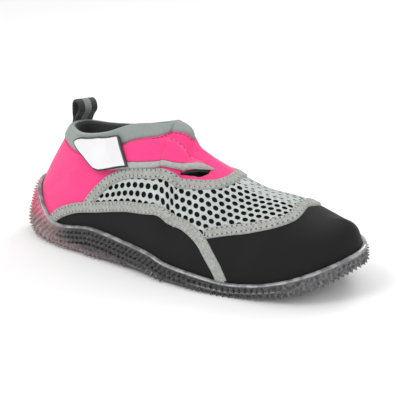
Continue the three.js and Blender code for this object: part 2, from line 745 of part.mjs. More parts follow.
const instepSeat = tapeSolid(TAPE_PATHS.instep, TAPE_WIDTH + 2 * GAP, TAPE_TOP + GAP);

// Strap over the outer side of the instep: a flap whose lower edge is bound and stands off at the slit
const STRAP_COLUMNS = ['station', 'low', 'bound', 'high', 'lift'];
const STRAP_ROWS = [
  [2.66, 0.745, 0.785, 0.790, 0.00],
  [3.05, 0.665, 0.715, 0.795, 0.00],
  [3.50, 0.628, 0.680, 0.800, 0.00],
  [4.00, 0.604, 0.655, 0.812, 0.00],
  [4.60, 0.609, 0.654, 0.825, 0.05],
  [5.10, 0.630, 0.668, 0.835, 0.15],
  [5.55, 0.663, 0.700, 0.845, 0.40],
  [5.95, 0.722, 0.772, 0.860, 0.75],
  [6.35, 0.775, 0.818, 0.872, 1.00],
  [6.65, 0.808, 0.850, 0.876, 0.90],
].map((row) => namedRow(STRAP_COLUMNS, row));
const BINDING_TIP = namedRow(STRAP_COLUMNS, [7.00, 0.885, 0.893, 0.893, 0.00]);
const BINDING_ROWS = [...STRAP_ROWS, BINDING_TIP];
const STRAP_LAYERS = 3;
const BINDING_LAYERS = 2;

function strapLift(station) {
  return GAP + rowBetween(BINDING_ROWS, 'lift', station) * STRAP_LIFT;
}

function strap() {
  const cells = bandCells(STRAP_ROWS, 'bound', 'high', STRAP_LAYERS);
  const free = ({ station, across }) => {
    const low = rowBetween(STRAP_ROWS, 'bound', station);
    const high = rowBetween(STRAP_ROWS, 'high', station);
    const share = THREE.MathUtils.clamp((high - across) / Math.max(high - low, 0.001), 0, 1);
    return THREE.MathUtils.lerp(GAP, strapLift(station), share);
  };
  const flap = solidOf(wallGeometry(cells, free, (s) => free(s) + STRAP_THICK));
  return geometryOf(flap.subtract(clearance).subtract(instepSeat));
}

function strapBinding() {
  const margin = 1.5 * GAP / ribLength(FRONT_STATION, 'outer');
  const cells = bandCells(BINDING_ROWS, 'low', 'bound', BINDING_LAYERS, margin);
  const lift = ({ station }) => strapLift(station);
  const edge = solidOf(wallGeometry(cells, lift, (s) => lift(s) + STRAP_BINDING_THICK));
  return geometryOf(edge.subtract(clearance).subtract(instepSeat));
}

// Tab at the strap's end, over the collar band, a rounded four-sided plate
const TAB_COLUMNS = ['across', 'rear', 'front'];
const TAB_ROWS = [
  [0.615, 3.92, 3.985],
  [0.630, 3.49, 3.97],
  [0.645, 3.08, 3.95],
  [0.665, 2.90, 3.92],
  [0.710, 2.73, 3.86],
  [0.770, 2.52, 3.78],
  [0.847, 2.16, 3.70],
  [0.887, 2.01, 3.655],
  [0.907, 2.00, 3.60],
  [0.925, 2.04, 3.36],
  [0.945, 2.12, 3.12],
  [0.962, 2.30, 2.90],
].map((row) => namedRow(TAB_COLUMNS, row));
const TAB_ROW_COUNT = TAB_ROWS.length - 1;
const TAB_COLUMN_COUNT = 6;
const TAB_SEAT = GAP + STRAP_BINDING_THICK + GAP;

function tab() {
  const place = (p, q) => {
    const row = TAB_ROWS[Math.round(q * TAB_ROW_COUNT)];
    return [THREE.MathUtils.lerp(row.rear, row.front, p), row.across];
  };
  const cells = patchCells(TAB_COLUMN_COUNT, TAB_ROW_COUNT, place);
  return wallGeometry(cells, () => TAB_SEAT, () => TAB_SEAT + TAB_THICK);
}

// Pull loop: webbing sewn behind the collar on the heel's inner corner, folded over into a standing loop
const LOOP_STATION = 0.65;
const LOOP_STEPS = 26;

function pullLoop() {
  const edge = acrossOf('inner', 1);
  const rim = skin(LOOP_STATION, edge);
  const sideways = skin(LOOP_STATION + NORMAL_STEP, edge).sub(rim).setZ(0).normalize();
  const back = new THREE.Vector3(-sideways.y, sideways.x, 0);
  const seamRun = skin(LOOP_STATION, acrossOf('inner', 1 - LOOP_SEAM / ribLength(LOOP_STATION, 'inner'))).sub(rim);
  const lean = seamRun.length() / Math.abs(seamRun.z);
  const innerLayer = COLLAR_PROUD + (2 * GAP + LOOP_THICK / 2) * lean;
  const outerLayer = innerLayer + (LOOP_THICK + 2 * GAP) * lean;
  const crown = LOOP_HEIGHT - LOOP_THICK / 2;
  const at = (out, up) => rim.clone().addScaledVector(back, out).setZ(rim.z + up);
  const seamOut = seamRun.dot(back);
  const route = new THREE.CatmullRomCurve3([
    at(innerLayer + seamOut, seamRun.z),
    at(innerLayer, GAP),
    at(innerLayer - 0.25 * LOOP_DEPTH, 0.25 * crown),
    at(innerLayer - 0.75 * LOOP_DEPTH, 0.62 * crown),
    at(innerLayer - 0.62 * LOOP_DEPTH, 0.9 * crown),
    at(innerLayer - 0.2 * LOOP_DEPTH, crown),
    at(innerLayer + 0.2 * LOOP_DEPTH, 0.85 * crown),
    at(outerLayer + 0.05 * LOOP_DEPTH, 0.35 * crown),
    at(outerLayer, GAP),
    at(outerLayer + seamOut, seamRun.z),
  ], false, 'centripetal');
  const frames = Array.from({ length: LOOP_STEPS + 1 }, (_, i) => ({
    middle: route.getPoint(i / LOOP_STEPS),
    sideways,
    upward: route.getTangent(i / LOOP_STEPS).cross(sideways).normalize(),
  }));
  return sweptStrip(frames, LOOP_WIDTH, -LOOP_THICK / 2, LOOP_THICK / 2);
}

// Materials and the assembly
const MATERIALS = {
  moulded: new THREE.MeshStandardMaterial({ color: 0x55504f, roughness: 0.35, metalness: 0 }),
  bed: new THREE.MeshStandardMaterial({ color: 0x3a3b3d, roughness: 0.9, metalness: 0 }),
  stretch: new THREE.MeshStandardMaterial({ color: 0xf24d8e, roughness: 0.75, metalness: 0 }),
  band: new THREE.MeshStandardMaterial({ color: 0x96a09b, roughness: 0.8, metalness: 0 }),
  tape: new THREE.MeshStandardMaterial({ color: 0xb4bab4, roughness: 0.85, metalness: 0 }),
  tab: new THREE.MeshStandardMaterial({ color: 0xf4f2f3, roughness: 0.45, metalness: 0 }),
  webbing: new THREE.MeshStandardMaterial({ color: 0x17181a, roughness: 0.8, metalness: 0 }),
};

function piece(name, geometry, material) {
  geometry.computeVertexNormals();
  const mesh = new THREE.Mesh(geometry, material.clone());
  mesh.name = name;
  return mesh;
}

const shoe = new THREE.Group();
shoe.add(
  piece('outsole', outsole(), MATERIALS.moulded),
  piece('insole', insole(), MATERIALS.bed),
  piece('upper', upper(), MATERIALS.stretch),
  piece('collar', collar(), MATERIALS.band),
  piece('side_tape_outer', geometryOf(sideTape(TAPE_PATHS.side)), MATERIALS.tape),
  piece('side_tape_inner', geometryOf(sideTape(mirroredPath(TAPE_PATHS.side))), MATERIALS.tape),
  piece('instep_tape', geometryOf(crossingTape(TAPE_PATHS.instep)), MATERIALS.tape),
  piece('toe_tape', geometryOf(crossingTape(TAPE_PATHS.toe)), MATERIALS.tape),
  piece('strap', strap(), MATERIALS.stretch),
  piece('strap_binding', strapBinding(), MATERIALS.tape),
  piece('tab', tab(), MATERIALS.tab),
  piece('pull_loop', pullLoop(), MATERIALS.webbing),
);

export default shoe;
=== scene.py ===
import math

import bmesh
import bpy
import numpy as np
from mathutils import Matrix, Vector


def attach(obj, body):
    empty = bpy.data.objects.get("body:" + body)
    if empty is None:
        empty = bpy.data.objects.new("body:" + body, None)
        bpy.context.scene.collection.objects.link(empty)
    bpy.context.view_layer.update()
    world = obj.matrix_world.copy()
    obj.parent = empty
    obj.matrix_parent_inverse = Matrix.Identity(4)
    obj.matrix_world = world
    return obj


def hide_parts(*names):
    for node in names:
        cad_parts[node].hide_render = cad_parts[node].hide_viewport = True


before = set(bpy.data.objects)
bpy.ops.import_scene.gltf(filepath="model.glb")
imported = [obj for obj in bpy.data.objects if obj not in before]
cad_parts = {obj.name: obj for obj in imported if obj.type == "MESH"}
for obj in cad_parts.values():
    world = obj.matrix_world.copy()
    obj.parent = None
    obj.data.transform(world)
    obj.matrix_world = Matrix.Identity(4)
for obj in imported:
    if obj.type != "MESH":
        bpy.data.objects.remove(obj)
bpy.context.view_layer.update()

MM = 0.001

# Driving sizes of the shoe
LENGTH = 252 * MM
MIDDLE = 0.505  # share of the length at which the middle of the shoe lies
BALL_WIDTH = 94 * MM
HEEL_HEIGHT = 80 * MM
INSTEP_HEIGHT = 92 * MM
TOE_HEIGHT = 44.5 * MM
TOE_SPRING = 14.5 * MM
COLLAR_DROP = 6 * MM
UPPER_WALL = 3 * MM
COLLAR_BAND = 12 * MM
COLLAR_PROUD = 0.8 * MM
SOLE_THICK = 7 * MM
SOLE_EDGE = 4 * MM
SOLE_TUCK = 9 * MM
CUP_HEIGHT = 38 * MM
CUP_WALL = 2.6 * MM
RIM_BEAD = 0.9 * MM
RIM_BEAD_HEIGHT = 2.6 * MM
LUG_HEIGHT = 1.5 * MM
LUG_RADIUS = 4 * MM
LUG_PITCH = 14 * MM
LUG_MARGIN = 8 * MM
INSOLE_THICK = 3.5 * MM
TAPE_WIDTH = 7 * MM
TAPE_TOP = 1.5 * MM
STRAP_THICK = 1.8 * MM
STRAP_LIFT = 2.5 * MM
BINDING_THICK = 2.6 * MM
TAB_SEAT = 3.3 * MM
TAB_THICK = 1.8 * MM
LOOP_WIDTH = 14 * MM
LOOP_THICK = 1.4 * MM
LOOP_HEIGHT = 15 * MM
LOOP_DEPTH = 10 * MM
LOOP_SEAM = 10 * MM
GAP = 0.35 * MM
MESH_DEPTH = 1.3 * MM  # how far the backing lies under the open mesh
MESH_PITCH = 5.2 * MM
MESH_ROW = 4.4 * MM
MESH_HOLE = 1.95 * MM  # half length of a hole
MESH_HOLE_SHARE = 0.8  # width of a hole over its length
GIRTH = 80 * MM  # length of a rib, on average, which sets the scale of the weaves

# Sections of the last, a row for each station from the heel's back to the toe's tip, as shares of the sizes
STATION_COLUMNS = (
    "at outer inner spring topAt topOuter topInner heel instep toe "
    "drop lowOut lowUp highIn highDown tuck cupOuter cupInner band"
).split()
STATION_ROWS = [
    [.010, .030, .030, .10, .155, .040, .040, 1.00, .00, .00, .00, .03, .38, .38, .25, .55, 1.00, 1.00, 1.05],
    [.053, -.195, .260, .00, .170, -.070, .140, 1.00, .00, .00, .08, .05, .38, .34, .25, .50, .92, .92, 1.10],
    [.150, -.310, .365, .00, .225, -.165, .210, .99, .00, .00, .17, .08, .35, .25, .30, .40, .47, .47, 1.20],
    [.300, -.372, .365, .00, .310, -.190, .220, .50, .47, .00, .50, .05, .35, .30, .30, .25, .55, .55, 1.25],
    [.420, -.417, .350, .10, .395, -.150, .190, .00, .99, .00, 1.00, .05, .35, .45, .18, .22, .45, .45, 1.25],
    [.500, -.460, .360, .07, .470, .035, .035, .00, .99, .00, .00, .05, .35, .60, .12, .22, .41, .41, .92],
    [.550, -.480, .395, .00, .524, .040, .040, .00, .86, .00, .00, .05, .35, .54, .14, .22, .35, .35, .00],
    [.620, -.492, .440, .00, .600, .050, .050, .00, .74, .00, .00, .05, .38, .58, .04, .25, .30, .30, .00],
    [.720, -.475, .492, .00, .700, .060, .060, .00, .32, .61, .00, .05, .45, .60, .02, .35, .24, .24, .00],
    [.830, -.430, .480, .24, .800, .070, .070, .00, .15, .87, .00, .05, .55, .62, .00, .60, .24, .30, .00],
    [.930, -.295, .390, .53, .885, .075, .075, .00, .00, 1.03, .00, .05, .68, .65, .00, .80, .34, .55, .00],
    [1.000, .080, .080, 1.16, .925, .080, .080, .00, .00, 1.02, .00, .05, .75, .70, .00, .90, .32, .32, .00],
]


def columns_of(names, rows):
    """A short table as one array for each named column."""
    return dict(zip(names, np.array(rows).T))


STATIONS = columns_of(STATION_COLUMNS, STATION_ROWS)
LAST = len(STATION_ROWS) - 1
FRONT = 5  # the opening ends here and the ridge of the instep begins
BAND_END = 6  # the collar band runs out on the ridge here
OUTER = 0
INNER = 1


def station_values(side):
    rows = STATIONS
    outer = side == OUTER
    top = rows["heel"] * HEEL_HEIGHT + rows["instep"] * INSTEP_HEIGHT + rows["toe"] * TOE_HEIGHT
    return {
        "x": (rows["at"] - MIDDLE) * LENGTH,
        "y": rows["outer" if outer else "inner"] * BALL_WIDTH,
        "ground": rows["spring"] * TOE_SPRING,
        "topX": (rows["topAt"] - MIDDLE) * LENGTH,
        "topY": rows["topOuter" if outer else "topInner"] * BALL_WIDTH,
        "topZ": top - (0 if outer else 1) * rows["drop"] * COLLAR_DROP,
        "lowOut": rows["lowOut"],
        "lowUp": rows["lowUp"],
        "highIn": rows["highIn"],
        "highDown": rows["highDown"],
        "tuck": rows["tuck"] * SOLE_TUCK,
        "cup": rows["cupOuter" if outer else "cupInner"] * CUP_HEIGHT,
        "band": rows["band"] * COLLAR_BAND,
    }


SIDES = [station_values(OUTER), station_values(INNER)]
RUN = np.diff(STATIONS["at"]) * LENGTH / MM
SPREAD = np.diff(STATIONS["inner"] - STATIONS["outer"]) / 2 * BALL_WIDTH / MM
SPACING = np.sqrt(np.hypot(RUN, SPREAD))
# Shares of the even slope with which the top line arrives at a corner and leaves it
CORNERS = {
    FRONT: ({"topX": 0.0, "topY": 1.6, "topZ": 0.3}, {"topX": 1.7, "topY": 1.0, "topZ": 0.25}),
    BAND_END: ({"topX": 0.25, "topY": 1.0, "topZ": 1.8}, {"topX": 1.0, "topY": 1.0, "topZ": 0.8}),
}


def tangents(side, key):
    """Tangents of a value at each station, arriving and leaving."""
    rows = SIDES[side][key]
    mirror = SIDES[1 - side][key]
    before = np.concatenate([[mirror[1]], rows[:-1]])
    after = np.concatenate([rows[1:], [mirror[-2]]])
    span_before = np.concatenate([SPACING[:1], SPACING])
    span_after = np.concatenate([SPACING, SPACING[-1:]])
    slope_before = (rows - before) / span_before
    slope_after = (after - rows) / span_after
    smooth = (slope_before * span_after + slope_after * span_before) / (span_before + span_after)
    arriving = smooth.copy()
    leaving = smooth.copy()
    for corner, (arrival, departure) in CORNERS.items():
        if key in arrival:
            arriving[corner] = arrival[key] * slope_before[corner]
            leaving[corner] = departure[key] * slope_after[corner]
    return arriving, leaving


TANGENTS = [{key: tangents(side, key) for key in SIDES[side]} for side in (OUTER, INNER)]


def hermite(side, key, station):
    i = np.clip(np.floor(station).astype(int), 0, LAST - 1)
    t = station - i
    rows = SIDES[side][key]
    arriving, leaving = TANGENTS[side][key]
    return rows[i], rows[i + 1], leaving[i] * SPACING[i], arriving[i + 1] * SPACING[i], t


def value(side, key, station):
    start, end, leave, arrive, t = hermite(side, key, np.asarray(station, float))
    return (start * (2 * t**3 - 3 * t**2 + 1) + leave * (t**3 - 2 * t**2 + t)
            + end * (3 * t**2 - 2 * t**3) + arrive * (t**3 - t**2))


def rate(side, key, station):
    start, end, leave, arrive, t = hermite(side, key, np.asarray(station, float))
    return (start * (6 * t**2 - 6 * t) + leave * (3 * t**2 - 4 * t + 1)
            + end * (6 * t - 6 * t**2) + arrive * (3 * t**2 - 2 * t))


def unit(vectors):
    return vectors / np.maximum(np.linalg.norm(vectors, axis=-1, keepdims=True), 1e-12)


def outward(side, station):
    """Level direction that points out of the sole's outline."""
    turn = 1 if side == OUTER else -1
    along_x = rate(side, "x", station)
    along_y = rate(side, "y", station)
    return unit(np.stack([along_y * turn, -along_x * turn, np.zeros_like(along_x)], -1))


def ground_at(side, station):
    return np.maximum(value(side, "ground", station), 0)


def smoothstep(x, low, high):
    t = np.clip((x - low) / (high - low), 0, 1)
    return t * t * (3 - 2 * t)


def ridge_slope(side, station):
    back = np.maximum(station - 0.5, 0)
    run = value(side, "topX", station) - value(side, "topX", back)
    rise = value(side, "topZ", station) - value(side, "topZ", back)
    share = smoothstep(station, FRONT, FRONT + 1.5)
    return np.clip(rise / np.maximum(np.abs(run), 1e-6), -1, 1) * share


def rib(side, station, rise):
    """A point of the last's surface: rise runs from 0 at the lower seam to 1 at the top line."""
    out = outward(side, station) * SOLE_EDGE
    low = np.stack([value(side, "x", station) - out[..., 0], value(side, "y", station) - out[..., 1],
                    ground_at(side, station) + SOLE_THICK], -1)
    top = np.stack([value(side, key, station) for key in ("topX", "topY", "topZ")], -1)
    spread = low - top
    height = top[..., 2] - low[..., 2]
    spread[..., 2] = 0
    low_handle = low + spread * value(side, "lowOut", station)[..., None]
    low_handle[..., 2] += value(side, "lowUp", station) * height
    high_in = value(side, "highIn", station)
    high_handle = top + spread * high_in[..., None]
    high_handle[..., 2] += high_in * spread[..., 0] * ridge_slope(side, station)
    high_handle[..., 2] -= value(side, "highDown", station) * height
    t = rise[..., None]
    return (1 - t)**3 * low + 3 * (1 - t)**2 * t * low_handle + 3 * (1 - t) * t**2 * high_handle + t**3 * top


def skin(station, across):
    """The last's surface. across runs from 0 at the outer seam over 1 at the top line to 2 at the inner seam.
    Past either end a station counts back on the other side."""
    station, across = np.broadcast_arrays(np.asarray(station, float), np.asarray(across, float))
    past = (station < 0) | (station > LAST)
    across = np.where(past, 2 - across, across)
    station = LAST - np.abs(LAST - np.abs(station))
    rise = np.clip(np.where(across <= 1, across, 2 - across), 0, 1)
    outer = rib(OUTER, station, rise)
    inner = rib(INNER, station, rise)
    return np.where((across <= 1)[..., None], outer, inner)


NORMAL_STEP = 0.02


def slopes(station, across):
    """How the surface runs along the stations and across them."""
    station, across = np.broadcast_arrays(np.asarray(station, float), np.asarray(across, float))
    h = NORMAL_STEP
    near_toe = (station > LAST - 1) & (np.abs(across - 1) < h)
    across = np.where(near_toe, np.where(across > 1, 1 + h, 1 - h), across)
    along = (skin(station + h, across) - skin(station - h, across)) / (2 * h)
    opening = station < FRONT
    highest = np.where(opening & (across <= 1), 1.0, 2.0)
    lowest = np.where(opening & (across > 1), 1 + 1e-9, 0.0)
    up = np.minimum(across + h, highest)
    down = np.maximum(across - h, lowest)
    over = (skin(station, up) - skin(station, down)) / (up - down)[..., None]
    return along, over


def normals(station, across):
    along, over = slopes(station, across)
    return unit(np.cross(along, over))


# Soft creases and dents of the upper, placed on the outer and the inner side.
# side: 1 outer, -1 inner, 0 both. at and rise: the middle. lean: turn of its line, in degrees from the
# shoe's length. reach: half its length, and width: half its width, as shares of GIRTH. depth: in millimetres.
FOLD_COLUMNS = "side at rise lean reach width depth".split()
FOLD_ROWS = [
    [0, 1.15, 0.55, 80, 0.22, 0.10, -0.6],
    [1, 1.70, 0.46, 60, 0.20, 0.05, -0.7],
    [1, 2.10, 0.60, 35, 0.18, 0.04, 0.5],
    [-1, 1.80, 0.45, 70, 0.22, 0.06, -0.7],
    [1, 5.35, 0.74, 20, 0.22, 0.05, -0.5],
    [1, 5.90, 0.90, 40, 0.18, 0.04, -0.6],
    [-1, 5.60, 0.80, 30, 0.22, 0.05, -0.7],
    [0, 6.60, 0.42, 75, 0.20, 0.05, -0.6],
    [0, 7.00, 0.46, 80, 0.22, 0.05, 0.5],
    [0, 7.45, 0.55, 85, 0.24, 0.05, -0.6],
    [0, 8.30, 0.30, 85, 0.16, 0.05, -0.5],
    [0, 8.75, 0.34, 80, 0.18, 0.05, 0.4],
    [-1, 4.30, 0.55, 15, 0.30, 0.07, -0.7],
    [0, 4.60, 0.17, 5, 0.35, 0.06, -0.5],
]


def creases(station, across):
    """Height of the creases over the last's surface."""
    station, across = np.broadcast_arrays(np.asarray(station, float), np.asarray(across, float))
    rise = np.where(across <= 1, across, 2 - across)
    outer = across <= 1
    x = np.interp(station, np.arange(LAST + 1), (STATIONS["at"] + STATIONS["topAt"]) / 2) * LENGTH
    total = np.zeros_like(station)
    for row in FOLD_ROWS:
        fold = dict(zip(FOLD_COLUMNS, row))
        middle = np.interp(fold["at"], np.arange(LAST + 1), (STATIONS["at"] + STATIONS["topAt"]) / 2) * LENGTH
        u = (x - middle) / GIRTH
        v = rise - fold["rise"]
        turn = math.radians(fold["lean"])
        along = u * math.cos(turn) + v * math.sin(turn)
        aside = v * math.cos(turn) - u * math.sin(turn)
        bump = np.exp(-(along / fold["reach"])**2 - (aside / fold["width"])**2) * fold["depth"] * MM
        shown = np.ones_like(station) if fold["side"] == 0 else (outer == (fold["side"] > 0)).astype(float)
        total += bump * shown
    low_edge = smoothstep(rise, 0.02, 0.14)
    return total * low_edge


def surface(station, across, offset=0.0):
    """The upper's outer face with its creases, lifted by an offset."""
    height = np.asarray(offset) + creases(station, across)
    lift = np.broadcast_to(height, np.shape(station))[..., None]
    return skin(station, across) + normals(station, across) * lift


RIB_STEPS = 8


def rib_length(station, side):
    rises = np.linspace(0, 1, RIB_STEPS + 1)
    across = rises if side == OUTER else 2 - rises - 1e-9
    points = skin(np.full(RIB_STEPS + 1, station), across)
    return float(np.linalg.norm(np.diff(points, axis=0), axis=1).sum())


def seam_rise(station, side):
    """How far up a rib the upper reaches: to the collar band, and to the ridge in front of it."""
    if station >= BAND_END:
        return 1.0
    return 1 - max(float(value(side, "band", station)), 0) / rib_length(station, side)


def across_of(side, rise):
    rise = np.asarray(rise, float)
    return rise if side == OUTER else np.maximum(2 - rise, 1 + 1e-9)


# Making mesh objects
WELD = 1e-6


def make_object(name, points, faces, materials, kinds=None, uv=None, smooth=True):
    mesh = bpy.data.meshes.new(name)
    mesh.from_pydata([tuple(p) for p in points], [], [tuple(int(i) for i in f) for f in faces])
    for material in materials:
        mesh.materials.append(material)
    if kinds is not None:
        mesh.polygons.foreach_set("material_index", np.asarray(kinds, np.int32))
    if uv is not None:
        layer = mesh.uv_layers.new(name="weave")
        corners = np.zeros(len(mesh.loops), np.int32)
        mesh.loops.foreach_get("vertex_index", corners)
        layer.data.foreach_set("uv", np.asarray(uv, np.float32)[corners].ravel())
    mesh.polygons.foreach_set("use_smooth", np.full(len(mesh.polygons), smooth))
    mesh.validate()
    mesh.update()
    piece = bpy.data.objects.new(name, mesh)
    bpy.context.scene.collection.objects.link(piece)
    return piece


def tidy_faces(faces, kinds):
    """Drops repeated corners, and faces that have fewer than three left."""
    kept = []
    kept_kinds = []
    for face, kind in zip(faces, kinds):
        ring = [face[i] for i in range(len(face)) if face[i] != face[i - 1]]
        if len(set(ring)) == len(ring) and len(ring) > 2:
            kept.append(ring)
            kept_kinds.append(kind)
    return kept, kept_kinds


def grid_quads(rows, columns, start=0):
    index = np.arange(rows * columns).reshape(rows, columns) + start
    return np.stack([index[:-1, :-1], index[1:, :-1], index[1:, 1:], index[:-1, 1:]], -1).reshape(-1, 4)


def weld(points):
    """Index of the first point that lies at each point's place, counted over the distinct places."""
    keys = np.round(points / WELD).astype(np.int64)
    _, first, inverse = np.unique(keys, axis=0, return_index=True, return_inverse=True)
    return first, inverse.reshape(-1)


def shell(name, patches, materials, kind_over=None, kind_under=0):
    """A wall on the last's surface. Each patch has grids: station, across, over, under and uv."""
    station = np.concatenate([p["station"].ravel() for p in patches])
    across = np.concatenate([p["across"].ravel() for p in patches])
    over = np.concatenate([np.broadcast_to(p["over"], p["station"].shape).ravel() for p in patches])
    under = np.concatenate([np.broadcast_to(p["under"], p["station"].shape).ravel() for p in patches])
    middle = skin(station, across)
    uv = np.concatenate([
        np.stack(p["uv"], -1).reshape(-1, 2) if "uv" in p
        else np.stack([middle_x, p["across"].ravel() * GIRTH], -1)
        for p, middle_x in zip(patches, split_like(middle[:, 0], patches))
    ])
    first, place = weld(middle)
    quads = []
    start = 0
    for p in patches:
        quad = grid_quads(*p["station"].shape, start)
        quads.append(quad[:, ::-1] if p.get("flip") else quad)
        start += p["station"].size
    quads = place[np.concatenate(quads)]
    station, across, over, under, uv = (a[first] for a in (station, across, over, under, uv))
    direction = normals(station, across)
    base = skin(station, across) + direction * creases(station, across)[:, None]
    points = np.concatenate([base + direction * over[:, None], base + direction * under[:, None]])
    count = len(first)
    centre_station = station[quads].mean(1)
    centre_across = across[quads].mean(1)
    kinds_over = np.zeros(len(quads), int) if kind_over is None else kind_over(centre_station, centre_across)
    faces, kinds = tidy_faces(quads.tolist(), kinds_over.tolist())
    sides = []
    edges = {}
    for face, kind in zip(faces, kinds):
        for a, b in zip(face, face[1:] + face[:1]):
            edges[(a, b)] = kind
    for (a, b), kind in edges.items():
        if (b, a) not in edges:
            sides.append(([b, a, a + count, b + count], kind))
    under_faces = [[i + count for i in reversed(face)] for face in faces]
    all_faces = faces + under_faces + [face for face, _ in sides]
    all_kinds = kinds + [kind_under] * len(faces) + [kind for _, kind in sides]
    return make_object(name, points, all_faces, materials, all_kinds, np.concatenate([uv, uv]))


def split_like(values, patches):
    parts = []
    start = 0
    for p in patches:
        parts.append(values[start:start + p["station"].size])
        start += p["station"].size
    return parts


def boolean_cut(piece, cutter):
    cut = piece.modifiers.new("cut", "BOOLEAN")
    cut.operation = "DIFFERENCE"
    cut.solver = "EXACT"
    cut.use_self = True
    cut.object = cutter
    graph = bpy.context.evaluated_depsgraph_get()
    mesh = bpy.data.meshes.new_from_object(piece.evaluated_get(graph))
    piece.modifiers.clear()
    old = piece.data
    piece.data = mesh
    mesh.name = piece.name
    bpy.data.meshes.remove(old)
    bpy.data.objects.remove(cutter)


def seat(piece, slot, *nodes):
    """A piece rides on the shoe and stands for solids, which it hides."""
    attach(piece, "root")
    if nodes:
        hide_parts(*nodes)
    return piece


# Materials
def new_material(name, colour, roughness, **inputs):
    material = bpy.data.materials.new(name)
    material.use_nodes = True
    shader = material.node_tree.nodes["Principled BSDF"]
    shader.inputs["Base Color"].default_value = (*colour, 1)
    shader.inputs["Roughness"].default_value = roughness
    for key, number in inputs.items():
        shader.inputs[key.replace("_", " ")].default_value = number
    return material


class Nodes:
    """Short calls that add nodes to one material."""

    def __init__(self, material):
        self.tree = material.node_tree
        self.shader = self.tree.nodes["Principled BSDF"]

    def node(self, kind, **settings):
        made = self.tree.nodes.new(kind)
        for key, setting in settings.items():
            setattr(made, key, setting)
        return made

    def link(self, start, end):
        self.tree.links.new(start, end)

    def put(self, socket, what):
        if isinstance(what, bpy.types.NodeSocket):
            self.link(what, socket)
        else:
            socket.default_value = what

    def math(self, operation, a, b=0.0, c=None):
        made = self.node("ShaderNodeMath", operation=operation)
        self.put(made.inputs[0], a)
        self.put(made.inputs[1], b)
        if c is not None:
            self.put(made.inputs[2], c)
        return made.outputs[0]

    def place(self):
        return self.node("ShaderNodeTexCoord").outputs["Object"]

    def axes(self, vector):
        made = self.node("ShaderNodeSeparateXYZ")
        self.link(vector, made.inputs[0])
        return made.outputs

    def weave(self):
        made = self.node("ShaderNodeUVMap", uv_map="weave")
        return self.axes(made.outputs["UV"])

    def noise(self, scale, detail=3.0, vector=None, roughness=0.5):
        made = self.node("ShaderNodeTexNoise")
        made.inputs["Scale"].default_value = scale
        made.inputs["Detail"].default_value = detail
        made.inputs["Roughness"].default_value = roughness
        self.link(vector or self.place(), made.inputs["Vector"])
        return made.outputs["Fac"]

    def range(self, what, low, high, to_low=0.0, to_high=1.0, smooth=True):
        made = self.node("ShaderNodeMapRange")
        made.interpolation_type = "SMOOTHSTEP" if smooth else "LINEAR"
        self.put(made.inputs[0], what)
        for socket, number in zip(made.inputs[1:5], (low, high, to_low, to_high)):
            socket.default_value = number
        return made.outputs[0]

    def mix(self, share, a, b):
        made = self.node("ShaderNodeMix", data_type="RGBA")
        self.put(made.inputs[0], share)
        self.put(made.inputs[6], a if isinstance(a, bpy.types.NodeSocket) else (*a, 1))
        self.put(made.inputs[7], b if isinstance(b, bpy.types.NodeSocket) else (*b, 1))
        return made.outputs[2]

    def colour(self, what):
        self.link(what, self.shader.inputs["Base Color"])

    def bump(self, height, distance, strength=1.0):
        made = self.node("ShaderNodeBump")
        made.inputs["Distance"].default_value = distance
        made.inputs["Strength"].default_value = strength
        self.link(height, made.inputs["Height"])
        self.link(made.outputs["Normal"], self.shader.inputs["Normal"])
        return made


KNIT_PITCH = 0.55 * MM


def knit_height(nodes, pitch=KNIT_PITCH):
    """Fine rows of loops, from the weave coordinates in metres."""
    u, v, _ = nodes.weave()
    turns = 2 * math.pi / pitch
    rows = nodes.math("SINE", nodes.math("MULTIPLY", v, turns))
    loops = nodes.math("SINE", nodes.math("MULTIPLY", u, turns))
    return nodes.math("MULTIPLY_ADD", nodes.math("MULTIPLY", rows, loops), 0.5, 0.5)


def foam_cloth(name, colour, shade, roughness=0.85, sheen=0.25):
    """Stretch foam with a fine knit face."""
    material = new_material(name, colour, roughness, Sheen_Weight=sheen, Sheen_Roughness=0.5,
                            Specular_IOR_Level=0.25)
    nodes = Nodes(material)
    large = nodes.noise(28, 2)
    fine = nodes.noise(900, 2)
    share = nodes.math("MULTIPLY_ADD", fine, 0.35, nodes.math("MULTIPLY", large, 0.65))
    nodes.colour(nodes.mix(nodes.range(share, 0.35, 0.65), shade, colour))
    height = nodes.math("MULTIPLY_ADD", fine, 0.6, knit_height(nodes))
    nodes.bump(height, 0.12 * MM, 0.5)
    return material


PINK = (0.90, 0.050, 0.235)
PINK_SHADE = (0.83, 0.038, 0.200)
BLACK = (0.0060, 0.0060, 0.0066)
BLACK_SHADE = (0.0055, 0.0055, 0.006)
COLLAR_GREY = (0.265, 0.300, 0.285)
COLLAR_SHADE = (0.230, 0.265, 0.250)
LINING = (0.06, 0.065, 0.065)
TAPE_GREY = (0.40, 0.415, 0.39)
TAPE_SHADE = (0.29, 0.30, 0.275)
MESH_GREY = (0.53, 0.575, 0.555)
MESH_SHADE = (0.40, 0.43, 0.415)

pink_foam = foam_cloth("pink_foam", PINK, PINK_SHADE)
black_foam = foam_cloth("black_foam", BLACK, BLACK_SHADE, 0.8, 0.05)
collar_foam = foam_cloth("collar_foam", COLLAR_GREY, COLLAR_SHADE, 0.8, 0.3)
lining_cloth = foam_cloth("lining_cloth", LINING, (0.045, 0.05, 0.05))


